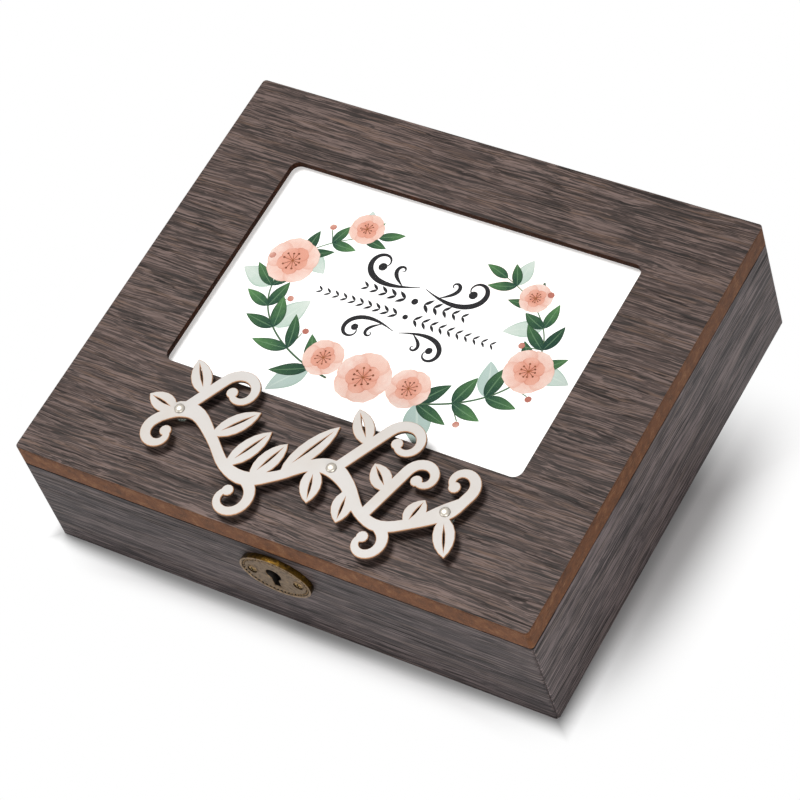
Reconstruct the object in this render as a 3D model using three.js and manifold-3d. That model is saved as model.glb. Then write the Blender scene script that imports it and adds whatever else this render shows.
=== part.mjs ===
// Memory box: a shallow keepsake box with a picture window in its hinged lid, a cut-out scroll that
// stands off the lid on clear spacers, and a small link lock behind an oval keyhole plate.
// Millimetres. +X is to the right, +Y to the back, +Z up. The origin is under the middle of the base.
import * as THREE from "three";
import { mergeVertices } from "three/addons/utils/BufferGeometryUtils.js";
import Module from "manifold-3d";

// Box
const boxLength = 210;
const boxDepth = 179;
const baseHeight = 46.5;
const wallThickness = 9;
const boxCornerRadius = 1.5;
const mitreGap = 0.1;

// Clearances: glued or screwed faces, pieces that drop in, holes round shanks, and the cut's overrun
const seat = 0.1;
const dropIn = 0.6;
const holeClearance = 0.12;
const slide = 0.3;
const overrun = 1;

// Bottom
const bottomThickness = 3;
const bottomRebate = 4.5;
const feltThickness = 0.9;

// Lining
const floorLiningThickness = 3;
const sideLiningThickness = 1.3;
const liningBelowRim = 1.2;
const lockLiningMargin = 0.8;

// Lid
const lidGap = 0.6;
const lidThickness = 9;
const veneerThickness = 0.6;
const lipThickness = 1.9;

// Picture window in the lid's rails, and what it holds
const sideRail = 31.6;
const frontRail = 53;
const backRail = 30.6;
const windowCornerRadius = 3.5;
const printEndOverlap = 2.8;
const printSideOverlap = 3.1;
const glassThickness = 1.2;
const printThickness = 0.5;
const backingThickness = 4.8;

// Buttons that turn over the backing board
const buttonLength = 14;
const buttonWidth = 6;
const buttonThickness = 1;
const buttonStandoff = 4.2;

// Scroll on the lid
const scrollLength = 133.6;
const scrollWidth = 54.3;
const scrollThickness = 1.5;
const scrollToRight = 0.6;
const scrollFromFront = 5.1;
const scrollStroke = 6.9;
const budRadius = 2.3;
const leafWidth = 8.2;
const leafSlit = 0.8;
const leafBellyShares = [1.4, 1.2];
const leafSlitShares = [0.3, 0.8];
const spacerRadius = 2.6;
const spacerHeight = 2.7;

// Rivets of the scroll
const rivetHeadRadius = 2;
const rivetHeadHeight = 1.1;
const rivetHeadShares = [
  [0.92, 0.4],
  [0.6, 0.82],
];
const rivetShankRadius = 0.8;
const rivetGrip = 6;

// Keyhole, measured down from the rim to the middle of its round head
const keyholeBelowRim = 11.6;
const keyholeRadius = 3.1;
const keyholeSlot = 2.9;
const keyholeReach = 7.2;

// Keyhole plate
const plateHalfLength = 14.6;
const plateHalfHeight = 10.3;
const plateEdge = 1;
const plateBeadHeight = 2.2;
const plateBeadWidth = 1.5;
const plateFace = 1.5;
const plateBeadShares = [
  [0.2, 0.86],
  [0.5, 1],
  [0.8, 0.86],
];
const plateBelowKeyhole = 1.1;
const plateToRight = 0.5;
const plateScrewSpacing = 19;
const plateCollarRadius = 2.7;

// Lock
const lockSkin = 3.4;
const lockPlate = 1.2;
const lockCapThickness = 0.6;
const lockCheek = 1;
const lockFlange = 3.6;
const boltTravel = 5;
const boltEndMargin = 2;
const boltNotch = 3.8;
const boltThicknessShare = 0.34;
const boltNoseShare = 0.5;
const boltSpringRoom = 1;
const stumpRadius = 1.1;
const linkThickness = 1.2;
const linkOffset = 9.1;
const linkNoseShort = 1.5;
const springThickness = 0.3;

// Hinges
const hingeFromEnd = 43;
const hingeLength = 26;
const hingeEar = 4;
const leafDepth = 7;
const leafThickness = 1.4;
const leafSplit = 0.1;
const barrelRadius = 1.9;
const barrelOut = 2.6;
const pinRadius = 0.9;
const pinClearance = 0.08;
const knuckleGap = 0.25;
const hingeScrewSpacing = 13;
const stopDegrees = 100;
const stopGap = 0.1;

// Bumpers under the lid's front corners
const bumperRadius = 3;
const bumperLength = 1.6;
const bumperInset = 12;

// Screws: a flat head for plates and hinges, a domed head for the keyhole plate and the buttons
const flatScrew = { head: 1.9, headHeight: 1, shank: 0.85, length: 6.4, dome: 0 };
const domeScrew = { head: 1.9, headHeight: 0.5, shank: 0.85, length: 6, dome: 0.7 };
const plateScrew = { ...domeScrew, length: plateFace + lockSkin - 2 * slide };
const screwSides = 10;
const crossWidthShare = 0.24;
const crossLengthShare = 0.72;
const crossDepthShare = 0.45;

// Places that follow from the sizes above
const lidZ = baseHeight + lidGap;
const innerX = boxLength / 2 - wallThickness;
const innerY = boxDepth / 2 - wallThickness;
const rebateTop = feltThickness + bottomThickness + 2 * seat;
const veneerTop = lidThickness + seat + veneerThickness;
const windowLength = boxLength - 2 * sideRail;
const windowWidth = boxDepth - frontRail - backRail;
const windowTowardsBack = (frontRail - backRail) / 2;
const printLength = windowLength + 2 * printEndOverlap;
const printWidth = windowWidth + 2 * printSideOverlap;
const pocketTop = lidThickness - lipThickness;
const glassZ = pocketTop - seat - glassThickness;
const printZ = glassZ - seat - printThickness;
const backingZ = printZ - seat - backingThickness;
const pocketLength = printLength + 2 * dropIn;
const pocketWidth = printWidth + 2 * dropIn;
const keyholeZ = baseHeight - keyholeBelowRim;
const plateZ = keyholeZ - plateBelowKeyhole;
const pinY = boxDepth / 2 + barrelOut;
const pinZ = baseHeight + lidGap / 2;
const scrollX = scrollToRight - scrollLength / 2;
const scrollY = scrollFromFront - boxDepth / 2;
const scrollZ = veneerTop + seat + spacerHeight + seat;

const wasm = await Module();
wasm.setup();

// Helpers: three.js geometries become solids, and solids become meshes

/** A solid from a closed three.js geometry. */
function solid(geometry) {
  const bare = geometry.index ? geometry.toNonIndexed() : geometry.clone();
  bare.deleteAttribute("normal");
  bare.deleteAttribute("uv");
  const merged = mergeVertices(bare, 1e-4);
  return new wasm.Manifold(
    new wasm.Mesh({
      numProp: 3,
      vertProperties: merged.attributes.position.array,
      triVerts: new Uint32Array(merged.index.array),
    }),
  );
}

/** A named mesh from a solid. */
function piece(name, body, material) {
  const made = body.getMesh();
  const geometry = new THREE.BufferGeometry();
  const places = new Float32Array(made.vertProperties);
  geometry.setAttribute("position", new THREE.BufferAttribute(places, 3));
  geometry.setIndex(new THREE.BufferAttribute(new Uint32Array(made.triVerts), 1));
  geometry.computeVertexNormals();
  const mesh = new THREE.Mesh(geometry, material);
  mesh.name = name;
  return mesh;
}

/** The union of several solids. */
function joined(first, ...others) {
  return others.reduce((whole, next) => whole.add(next), first);
}

/** A solid with several others cut out of it. */
function cut(body, ...tools) {
  return tools.reduce((rest, tool) => rest.subtract(tool), body);
}

/** A block between two limits along each axis. */
function block(x0, x1, y0, y1, z0, z1) {
  const geometry = new THREE.BoxGeometry(x1 - x0, y1 - y0, z1 - z0);
  geometry.translate((x0 + x1) / 2, (y0 + y1) / 2, (z0 + z1) / 2);
  return solid(geometry);
}

/** A flat outline raised from z0 to z1. */
function raised(shape, z0, z1, curveSegments = 4) {
  const options = { depth: z1 - z0, bevelEnabled: false, curveSegments };
  const geometry = new THREE.ExtrudeGeometry(shape, options);
  geometry.translate(0, 0, z0);
  return geometry;
}

/** A closed profile of [radius, height] points turned round the Z axis. */
function turned(profile, sides) {
  const points = profile.map(([radius, height]) => new THREE.Vector2(radius, height));
  return new THREE.LatheGeometry(points, sides).rotateX(Math.PI / 2);
}

/** A rectangle with round corners, centred on the origin. */
function roundedRectangle(length, width, radius) {
  const x = length / 2;
  const y = width / 2;
  const shape = new THREE.Shape();
  shape.moveTo(-x + radius, -y);
  shape.lineTo(x - radius, -y);
  shape.absarc(x - radius, -y + radius, radius, -Math.PI / 2, 0);
  shape.lineTo(x, y - radius);
  shape.absarc(x - radius, y - radius, radius, 0, Math.PI / 2);
  shape.lineTo(-x + radius, y);
  shape.absarc(-x + radius, y - radius, radius, Math.PI / 2, Math.PI);
  shape.lineTo(-x, -y + radius);
  shape.absarc(-x + radius, -y + radius, radius, Math.PI, 1.5 * Math.PI);
  return shape;
}

/** A polygon through [x, y] points. */
function polygon(points) {
  return new THREE.Shape(points.map(([x, y]) => new THREE.Vector2(x, y)));
}

/** A solid moved by x, y and z. */
function moved(body, x, y, z) {
  return body.translate([x, y, z]);
}

// Materials, in the colours of the photograph

const material = (color, roughness, metalness) =>
  new THREE.MeshStandardMaterial({ color, roughness, metalness });
const wallBoard = material(0x5b5655, 0.62, 0);
const lidBoard = material(0x7a5846, 0.7, 0);
const oakSheet = material(0x685c58, 0.6, 0);
const hardboard = material(0x4a3527, 0.8, 0);
const backFelt = material(0x1d1c1d, 0.95, 0);
const velvet = material(0x2a2626, 0.95, 0);
const clearGlass = new THREE.MeshStandardMaterial({
  color: 0xf2f6f4,
  roughness: 0.05,
  metalness: 0,
  transparent: true,
  opacity: 0.35,
});
const printedCard = material(0xf7f6f2, 0.6, 0);
const pearlBoard = material(0xe2deda, 0.38, 0.1);
const clearPlastic = new THREE.MeshStandardMaterial({
  color: 0xdfe3df,
  roughness: 0.12,
  metalness: 0,
  transparent: true,
  opacity: 0.5,
});
const nickel = material(0xcfc9c0, 0.2, 1);
const antiqueBrass = material(0x87785f, 0.4, 1);
const plainBrass = material(0xb08d4a, 0.35, 1);
const steel = material(0x9a9a9c, 0.4, 1);
const darkRubber = material(0x222222, 0.8, 0);

// Screws

/** The closed profile of a screw with its head's face at height zero, grown by a clearance. */
function screwProfile(screw, grow) {
  const head = screw.head + grow;
  const shank = screw.shank + grow;
  const point = -screw.length - grow;
  const profile = [
    [0, point],
    [shank, point + shank],
    [shank, -screw.headHeight - grow],
  ];
  if (screw.dome > 0) {
    profile.push([head, -screw.headHeight - grow], [head, grow]);
    if (grow === 0) {
      profile.push([head * Math.SQRT1_2, screw.dome * Math.SQRT1_2]);
    }
  } else {
    profile.push([head, grow]);
  }
  const top = screw.dome + grow;
  if (screw.dome > 0 && grow > 0) {
    profile.push([head, top]);
  }
  profile.push([0, top]);
  return profile;
}

/** A cross slot that fits a screw's head. */
function crossSlot(screw) {
  const arm = screw.head * crossLengthShare;
  const half = (screw.head * crossWidthShare) / 2;
  const top = screw.dome + overrun;
  const bottom = screw.dome - (screw.dome + screw.headHeight) * crossDepthShare;
  return joined(block(-arm, arm, -half, half, bottom, top), block(-half, half, -arm, arm, bottom, top));
}

/** A screw whose shank runs down from its head. */
function screwBody(screw) {
  return solid(turned(screwProfile(screw, 0), screwSides)).subtract(crossSlot(screw));
}

/** The room that a screw takes in the pieces it passes, open above the head. */
function screwRoom(screw) {
  const grown = solid(turned(screwProfile(screw, holeClearance), screwSides));
  const above = turned(
    [
      [0, 0],
      [screw.head + holeClearance, 0],
      [screw.head + holeClearance, screw.dome + 2 * overrun],
      [0, screw.dome + 2 * overrun],
    ],
    screwSides,
  );
  return grown.add(solid(above));
}

/** A screw's turn: its shank runs down, up, towards the front or towards the back. */
const screwTurns = {
  down: [0, 0, 0],
  up: [180, 0, 0],
  back: [90, 0, 0],
  front: [-90, 0, 0],
};

/** A screw mesh at a place, turned as its name in screwTurns says. */
function screwMesh(name, screw, place, turn, finish) {
  const mesh = piece(name, screwBody(screw), finish);
  mesh.position.set(...place);
  mesh.rotation.set(...screwTurns[turn].map(THREE.MathUtils.degToRad));
  return mesh;
}

/** The room of a screw at a place. */
function screwRoomAt(screw, place, turn) {
  return screwRoom(screw).rotate(screwTurns[turn]).translate(place);
}

// Keyhole

/** The keyhole's outline with its round head on the origin, grown all round by a margin. */
function keyholeOutline(margin) {
  const radius = keyholeRadius + margin;
  const half = keyholeSlot / 2 + margin;
  const shoulder = Math.asin(Math.min(half / radius, 0.95));
  const shape = new THREE.Shape();
  shape.moveTo(-half, -keyholeReach - margin);
  shape.lineTo(half, -keyholeReach - margin);
  shape.absarc(0, 0, radius, -Math.PI / 2 + shoulder, 1.5 * Math.PI - shoulder);
  return shape;
}

/** A keyhole cut that runs from one y to another through the front. */
function keyholeCut(margin, y0, y1) {
  const geometry = raised(keyholeOutline(margin), 0, y1 - y0, 10);
  geometry.rotateX(Math.PI / 2);
  geometry.translate(0, y1, keyholeZ);
  return solid(geometry);
}

// Lock sizes that follow from the wall, the bolt and the link

const lockInnerY = -innerY - lockPlate;
const lockRoom = wallThickness - lockSkin - lockPlate - lockCapThickness - seat;
const lockRoomY = lockInnerY - lockRoom;
const lockFrontY = lockRoomY - lockCapThickness;
const lockTopZ = baseHeight - seat;
const lockCeilingZ = lockTopZ - lockPlate;
const lockFloorZ = keyholeZ - keyholeReach - lockCheek;
const notchX = -boltTravel / 2;
const stumpX = notchX - boltNotch / 2 - boltEndMargin / 2 - stumpRadius;
const stumpSlotEnd = stumpX - boltTravel - stumpRadius;
const boltTail = stumpSlotEnd - boltEndMargin;
const lockRoomHalf = -boltTail + slide;
const lockHalf = lockRoomHalf + lockCheek;
const flangeHalf = lockHalf + lockFlange;
const boltThickness = lockRoom * boltThicknessShare;
const boltY = lockInnerY - lockRoom / 2;
const boltTop = lockCeilingZ - boltSpringRoom;
const boltBottom = keyholeZ + keyholeReach / 2;
const boltHeight = boltTop - boltBottom;
const boltBodyEnd = linkOffset - linkThickness / 2 - slide - boltTravel;
const boltNoseEnd = linkOffset - linkThickness / 2 - linkNoseShort;
const noseHeight = boltHeight * boltNoseShare;
const linkHalf = lockRoom / 2 - slide;
const linkHoleHalf = boltThickness / 2 + slide;
const lockScrewZ = (lockTopZ + lockFloorZ) / 2;
const strikeScrewX = (flangeHalf + linkOffset) / 2;

/** The places of the lock's two screws. */
const lockScrews = [
  ["lock_screw_left", -lockHalf - lockFlange / 2],
  ["lock_screw_right", lockHalf + lockFlange / 2],
].map(([name, x]) => ({ name, place: [x, -innerY - seat, lockScrewZ] }));

/** The places of the keyhole plate's two screws. */
const plateScrews = [
  ["escutcheon_screw_left", -plateScrewSpacing / 2],
  ["escutcheon_screw_right", plateScrewSpacing / 2],
].map(([name, x]) => ({ name, place: [plateToRight + x, -boxDepth / 2 - seat - plateFace, plateZ] }));

/** The places of the two bumpers in the rim's front corners. */
const bumpers = [
  ["lid_bumper_left", -boxLength / 2 + bumperInset],
  ["lid_bumper_right", boxLength / 2 - bumperInset],
].map(([name, x]) => ({ name, x, y: -boxDepth / 2 + wallThickness / 2 }));

/** The two hinges and their screws, which the base and the lid share. */
const hinges = [
  ["left", -boxLength / 2 + hingeFromEnd],
  ["right", boxLength / 2 - hingeFromEnd],
].map(([side, x]) => ({ side, x, screws: [x - hingeScrewSpacing / 2, x + hingeScrewSpacing / 2] }));
const hingeScrewY = boxDepth / 2 - leafDepth / 2;
const baseScrewZ = pinZ - leafSplit - seat / 2;
const lidScrewZ = pinZ + leafSplit + seat / 2 - lidZ;

// Walls

/** A plain wall along the front, with mitred ends, before it is turned to its side. */
function mitredWall(length, depth) {
  const x = length / 2 - mitreGap;
  const y = -depth / 2;
  const plan = polygon([
    [-x - overrun, y - overrun],
    [x + overrun, y - overrun],
    [x - wallThickness, y + wallThickness],
    [-x + wallThickness, y + wallThickness],
  ]);
  return solid(raised(plan, 0, baseHeight));
}

/** The outer block that rounds the walls' corners, and the rebate that takes the bottom. */
const outerBlock = solid(
  raised(roundedRectangle(boxLength, boxDepth, boxCornerRadius), -overrun, baseHeight + overrun),
);
const bottomRecess = block(
  -innerX - bottomRebate,
  innerX + bottomRebate,
  -innerY - bottomRebate,
  innerY + bottomRebate,
  -overrun,
  rebateTop,
);

/** One finished wall, turned by quarter turns from the front. */
function wall(length, depth, degrees) {
  return mitredWall(length, depth).rotate([0, 0, degrees]).intersect(outerBlock).subtract(bottomRecess);
}

/** The front wall, with the lock's mortise, the keyhole and the bumpers' sockets. */
function frontWall() {
  const mortise = block(
    -lockHalf - slide,
    lockHalf + slide,
    lockFrontY - seat,
    -innerY + overrun,
    lockFloorZ - lockCheek - slide,
    baseHeight + overrun,
  );
  const plateRecess = block(
    -flangeHalf - slide,
    flangeHalf + slide,
    lockInnerY - seat,
    -innerY + overrun,
    lockFloorZ - lockCheek - slide,
    baseHeight + overrun,
  );
  const topRecess = block(
    -flangeHalf - slide,
    flangeHalf + slide,
    lockFrontY - seat,
    -innerY + overrun,
    lockCeilingZ - seat,
    baseHeight + overrun,
  );
  const sockets = bumpers.map(({ x, y }) =>
    moved(rod(bumperRadius + holeClearance, bumperLength + overrun), x, y, bumperZ - seat),
  );
  return cut(
    wall(boxLength, boxDepth, 0),
    mortise,
    plateRecess,
    topRecess,
    keyholeCut(slide, -boxDepth / 2 - overrun, lockFrontY + overrun),
    ...sockets,
    ...lockScrews.map(({ place }) => screwRoomAt(flatScrew, place, "front")),
    ...plateScrews.map(({ place }) => screwRoomAt(plateScrew, place, "back")),
  );
}

/** The back wall, with the hinges' mortises and screw holes. */
function backWall() {
  const rooms = hinges.flatMap(({ x, screws }) => [
    block(
      x - hingeLength / 2 - slide,
      x + hingeLength / 2 + slide,
      boxDepth / 2 - leafDepth - slide,
      boxDepth / 2 + overrun,
      pinZ - leafSplit - leafThickness - seat,
      baseHeight + overrun,
    ),
    ...screws.map((screwX) => screwRoomAt(flatScrew, [screwX, hingeScrewY, baseScrewZ], "down")),
  ]);
  return cut(wall(boxLength, boxDepth, 180), ...rooms);
}

// Bottom and linings

/** The board let into the rebate from below. */
function bottomPanel() {
  return block(
    -innerX - bottomRebate + slide,
    innerX + bottomRebate - slide,
    -innerY - bottomRebate + slide,
    innerY + bottomRebate - slide,
    feltThickness + seat,
    feltThickness + seat + bottomThickness,
  );
}

/** The felt under the bottom, level with the walls' edges. */
function bottomFelt() {
  return block(
    -innerX - bottomRebate + slide,
    innerX + bottomRebate - slide,
    -innerY - bottomRebate + slide,
    innerY + bottomRebate - slide,
    0,
    feltThickness,
  );
}

const liningX = innerX - seat - sideLiningThickness;
const liningY = innerY - seat - sideLiningThickness;
const liningTop = baseHeight - liningBelowRim;

/** The pad on the bottom, between the side linings. */
function floorLining() {
  return block(
    -liningX + slide,
    liningX - slide,
    -liningY + slide,
    liningY - slide,
    rebateTop,
    rebateTop + floorLiningThickness,
  );
}

/** A covered card against the left or right wall. */
function sideLining(side) {
  const outer = side * (innerX - seat);
  const inner = side * liningX;
  return block(
    Math.min(outer, inner),
    Math.max(outer, inner),
    -innerY + seat,
    innerY - seat,
    rebateTop,
    liningTop,
  );
}

/** The covered card against the back wall. */
function backLining() {
  return block(-liningX + slide, liningX - slide, liningY, innerY - seat, rebateTop, liningTop);
}

/** The covered card against the front wall, cut away round the lock. */
function frontLining() {
  const card = block(-liningX + slide, liningX - slide, -innerY + seat, -liningY, rebateTop, liningTop);
  const notch = block(
    -flangeHalf - lockLiningMargin,
    flangeHalf + lockLiningMargin,
    -innerY - overrun,
    -liningY + overrun,
    lockFloorZ - lockCheek - lockLiningMargin,
    liningTop + overrun,
  );
  return card.subtract(notch);
}

// Bumpers

const bumperZ = lidZ - seat - bumperLength;

/** A round bar that stands on height zero. */
function rod(radius, length, sides = 16) {
  return solid(
    turned(
      [
        [0, 0],
        [radius, 0],
        [radius, length],
        [0, length],
      ],
      sides,
    ),
  );
}

/** A rubber bumper with its top edge eased. */
function bumper() {
  const ease = bumperLength / 4;
  return solid(
    turned(
      [
        [0, 0],
        [bumperRadius, 0],
        [bumperRadius, bumperLength - ease],
        [bumperRadius - ease, bumperLength],
        [0, bumperLength],
      ],
      16,
    ),
  );
}

// Keyhole plate

/** An oval that is built up from rings, each an inset from the edge and a height. */
function ovalFromRings(halfLength, halfHeight, rings, sides) {
  const points = [];
  rings.forEach(([inset, height]) => {
    for (let i = 0; i < sides; i += 1) {
      const turn = (2 * Math.PI * i) / sides;
      points.push((halfLength - inset) * Math.cos(turn), (halfHeight - inset) * Math.sin(turn), height);
    }
  });
  const faces = [];
  for (let ring = 0; ring + 1 < rings.length; ring += 1) {
    for (let i = 0; i < sides; i += 1) {
      const a = ring * sides + i;
      const b = ring * sides + ((i + 1) % sides);
      faces.push(a, b, b + sides, a, b + sides, a + sides);
    }
  }
  const last = (rings.length - 1) * sides;
  for (let i = 1; i + 1 < sides; i += 1) {
    faces.push(0, i + 1, i);
    faces.push(last, last + i, last + i + 1);
  }
  const geometry = new THREE.BufferGeometry();
  geometry.setAttribute("position", new THREE.BufferAttribute(new Float32Array(points), 3));
  geometry.setIndex(faces);
  return geometry;
}

/** The oval plate with its raised bead, a collar round each screw and the keyhole. */
function escutcheonPlate() {
  const rings = [
    [0, 0],
    [0, plateEdge],
    ...plateBeadShares.map(([across, up]) => [across * plateBeadWidth, up * plateBeadHeight]),
    [plateBeadWidth, plateFace],
  ];
  const oval = ovalFromRings(plateHalfLength, plateHalfHeight, rings, 32);
  oval.rotateX(Math.PI / 2);
  oval.translate(plateToRight, -boxDepth / 2 - seat, plateZ);
  const back = -boxDepth / 2 - seat;
  const collars = plateScrews.map(({ place }) => {
    const collar = new THREE.CylinderGeometry(plateCollarRadius, plateCollarRadius, plateBeadHeight, 16);
    collar.translate(place[0], back - plateBeadHeight / 2, plateZ);
    return solid(collar);
  });
  return cut(
    joined(solid(oval), ...collars),
    keyholeCut(0, back - plateBeadHeight - overrun, back + overrun),
    ...plateScrews.map(({ place }) => screwRoomAt(plateScrew, place, "back")),
  );
}

// Lock

/** The case: a back plate let into the wall, a top plate in the rim, cheeks, a floor and the stump. */
function lockCase() {
  const floor = lockFloorZ - lockCheek;
  const backPlate = block(-flangeHalf, flangeHalf, lockInnerY, -innerY, floor, lockTopZ);
  const topPlate = block(-flangeHalf, flangeHalf, lockFrontY, -innerY, lockCeilingZ, lockTopZ);
  const shell = block(-lockHalf, lockHalf, lockRoomY, -innerY, floor, lockTopZ);
  const room = block(
    -lockRoomHalf,
    lockRoomHalf,
    lockRoomY - overrun,
    lockInnerY,
    lockFloorZ,
    lockCeilingZ,
  );
  const stump = rod(stumpRadius, lockRoom + overrun / 2, 10);
  const placedStump = moved(stump.rotate([90, 0, 0]), stumpX, lockInnerY + overrun / 2, boltMiddle);
  const linkSlot = block(
    linkOffset - linkThickness / 2 - slide,
    linkOffset + linkThickness / 2 + slide,
    boltY - linkHalf - slide,
    boltY + linkHalf + slide,
    lockCeilingZ - overrun,
    lockTopZ + overrun,
  );
  return cut(
    joined(cut(joined(topPlate, shell), room, linkSlot), backPlate, placedStump),
    ...lockScrews.map(({ place }) => screwRoomAt(flatScrew, place, "front")),
  );
}

const boltMiddle = (boltTop + boltBottom) / 2;

/** The thin cover that closes the case towards the front, with the keyhole in it. */
function lockCap() {
  const plate = block(
    -lockHalf,
    lockHalf,
    lockFrontY,
    lockRoomY - seat,
    lockFloorZ - lockCheek,
    lockCeilingZ - seat,
  );
  return plate.subtract(keyholeCut(0, lockFrontY - overrun, lockRoomY + overrun));
}

/** The sliding bolt: a body with the stump's slot and the key's notch, and a nose for the link. */
function lockBolt() {
  const y0 = boltY - boltThickness / 2;
  const y1 = boltY + boltThickness / 2;
  const body = block(boltTail, boltBodyEnd, y0, y1, boltBottom, boltTop);
  const nose = block(
    boltBodyEnd - overrun,
    boltNoseEnd,
    y0,
    y1,
    boltMiddle - noseHeight / 2,
    boltMiddle + noseHeight / 2,
  );
  const stumpRoom = stumpRadius + slide / 2;
  const slot = block(
    stumpX - boltTravel - stumpRoom,
    stumpX + stumpRoom,
    y0 - overrun,
    y1 + overrun,
    boltMiddle - stumpRoom,
    boltMiddle + stumpRoom,
  );
  const notch = block(
    notchX - boltNotch / 2,
    notchX + boltNotch / 2,
    y0 - overrun,
    y1 + overrun,
    boltBottom - overrun,
    boltMiddle,
  );
  return cut(joined(body, nose), slot, notch);
}

/** The flat spring between the bolt and the case's ceiling. */
function lockSpring() {
  const left = -lockRoomHalf + slide;
  const right = boltBodyEnd - boltEndMargin;
  const middle = (left + right) / 2;
  const low = boltTop + slide / 2;
  const high = lockCeilingZ - slide / 2;
  const strip = polygon([
    [left, high - springThickness],
    [middle, low],
    [right, high - springThickness],
    [right, high],
    [middle, low + springThickness],
    [left, high],
  ]);
  const geometry = raised(strip, 0, boltThickness);
  geometry.rotateX(Math.PI / 2);
  geometry.translate(0, boltY + boltThickness / 2, 0);
  return solid(geometry);
}

// Hinges

/** One hinge leaf about its pin's axis. Side is -1 for the base's leaf below and 1 for the lid's. */
function hingeLeaf(side, ownKnuckles, otherKnuckles) {
  const near = side * leafSplit;
  const far = side * (leafSplit + leafThickness);
  const slope = Math.tan(THREE.MathUtils.degToRad(stopDegrees / 2));
  const back = stopGap / Math.sin(THREE.MathUtils.degToRad(stopDegrees / 2));
  const earEnd = (height) => Math.abs(height) / slope - back;
  const inner = -barrelOut - leafDepth;
  const section = [
    [inner, near],
    [earEnd(near), near],
    [earEnd(far), far],
    [inner, far],
  ];
  const plate = raised(polygon(section), 0, hingeLength);
  // The section is drawn in y and z, so its length is turned to run along x.
  const turn = new THREE.Matrix4().makeBasis(
    new THREE.Vector3(0, 1, 0),
    new THREE.Vector3(0, 0, 1),
    new THREE.Vector3(1, 0, 0),
  );
  plate.applyMatrix4(turn);
  plate.translate(-hingeLength / 2, 0, 0);
  const barrelHalf = hingeLength / 2 - hingeEar;
  const behind = block(
    -barrelHalf,
    barrelHalf,
    -leafSplit,
    barrelRadius + overrun,
    Math.min(near, far) - overrun,
    Math.max(near, far) + overrun,
  );
  const knuckles = ownKnuckles.map(([x0, x1]) => alongX(rod(barrelRadius, x1 - x0, 14), x0));
  const clearances = otherKnuckles.map(([x0, x1]) =>
    alongX(rod(barrelRadius + slide, x1 - x0 + 2 * knuckleGap, 14), x0 - knuckleGap),
  );
  const bore = alongX(rod(pinRadius + pinClearance, 2 * barrelHalf, 12), -barrelHalf);
  const screws = [-hingeScrewSpacing / 2, hingeScrewSpacing / 2].map((x) =>
    screwRoomAt(
      flatScrew,
      [x, -barrelOut - leafDepth / 2, side * (leafSplit + seat / 2)],
      side < 0 ? "down" : "up",
    ),
  );
  return cut(joined(cut(solid(plate), behind, ...clearances), ...knuckles), bore, ...screws);
}

/** A bar along Z laid along X from x. */
function alongX(body, x) {
  return body.rotate([0, 90, 0]).translate([x, 0, 0]);
}

const knuckleEnd = hingeLength / 2 - hingeEar;
const knuckleSplit = knuckleEnd / 3;
const baseKnuckles = [
  [-knuckleEnd, -knuckleSplit],
  [knuckleSplit, knuckleEnd],
];
const lidKnuckles = [[-knuckleSplit + knuckleGap, knuckleSplit - knuckleGap]];

/** The pin through one hinge's knuckles. */
function hingePin() {
  return alongX(rod(pinRadius, 2 * knuckleEnd, 12), -knuckleEnd);
}

// Lid

const windowAt = { x: 0, y: windowTowardsBack };

/** The window's cut between two heights. */
function windowCut(z0, z1) {
  const shape = roundedRectangle(windowLength, windowWidth, windowCornerRadius);
  return moved(solid(raised(shape, z0, z1)), windowAt.x, windowAt.y, 0);
}

/** A sheet centred on the window. */
function windowSheet(length, width, z0, thickness) {
  return block(
    windowAt.x - length / 2,
    windowAt.x + length / 2,
    windowAt.y - width / 2,
    windowAt.y + width / 2,
    z0,
    z0 + thickness,
  );
}

/** The four buttons round the pocket, each pointing at the window. */
const buttons = [
  ["left", -pocketLength / 2 - buttonStandoff, 0, 0],
  ["right", pocketLength / 2 + buttonStandoff, 0, 180],
  ["front", 0, -pocketWidth / 2 - buttonStandoff, 90],
  ["back", 0, pocketWidth / 2 + buttonStandoff, -90],
].map(([side, x, y, degrees]) => ({ side, x: windowAt.x + x, y: windowAt.y + y, degrees }));
const buttonScrewZ = -seat - buttonThickness - domeScrew.headHeight - holeClearance;

/** The rivets' places, as shares of the scroll's length and width. */
const rivetShares = [
  [0.1, 0.526],
  [0.584, 0.486],
  [0.931, 0.458],
];
const rivets = rivetShares.map(([u, v], i) => ({
  name: ["left", "middle", "right"][i],
  x: scrollX + u * scrollLength,
  y: scrollY + v * scrollWidth,
}));

/** The lid's board, with the window, the pocket behind it and all its holes. */
function lidPanel() {
  const board = solid(raised(roundedRectangle(boxLength, boxDepth, boxCornerRadius), 0, lidThickness));
  const pocket = windowSheet(pocketLength, pocketWidth, -overrun, pocketTop + overrun);
  const hingeRooms = hinges.flatMap(({ x, screws }) => [
    block(
      x - hingeLength / 2 - slide,
      x + hingeLength / 2 + slide,
      boxDepth / 2 - leafDepth - slide,
      boxDepth / 2 + overrun,
      -overrun,
      pinZ + leafSplit + leafThickness + seat - lidZ,
    ),
    ...screws.map((screwX) => screwRoomAt(flatScrew, [screwX, hingeScrewY, lidScrewZ], "up")),
  ]);
  const strikeRoom = block(
    -flangeHalf - slide,
    flangeHalf + slide,
    lockFrontY - slide,
    -innerY + slide,
    -overrun,
    lockPlate + seat,
  );
  return cut(
    board,
    windowCut(-overrun, lidThickness + overrun),
    pocket,
    strikeRoom,
    ...hingeRooms,
    ...strikeScrews.map(({ place }) => screwRoomAt(flatScrew, place, "up")),
    ...buttons.map(({ x, y }) => screwRoomAt(domeScrew, [x, y, buttonScrewZ], "up")),
    ...rivets.map(({ x, y }) => moved(rivetRoom(), x, y, 0)),
  );
}

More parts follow.
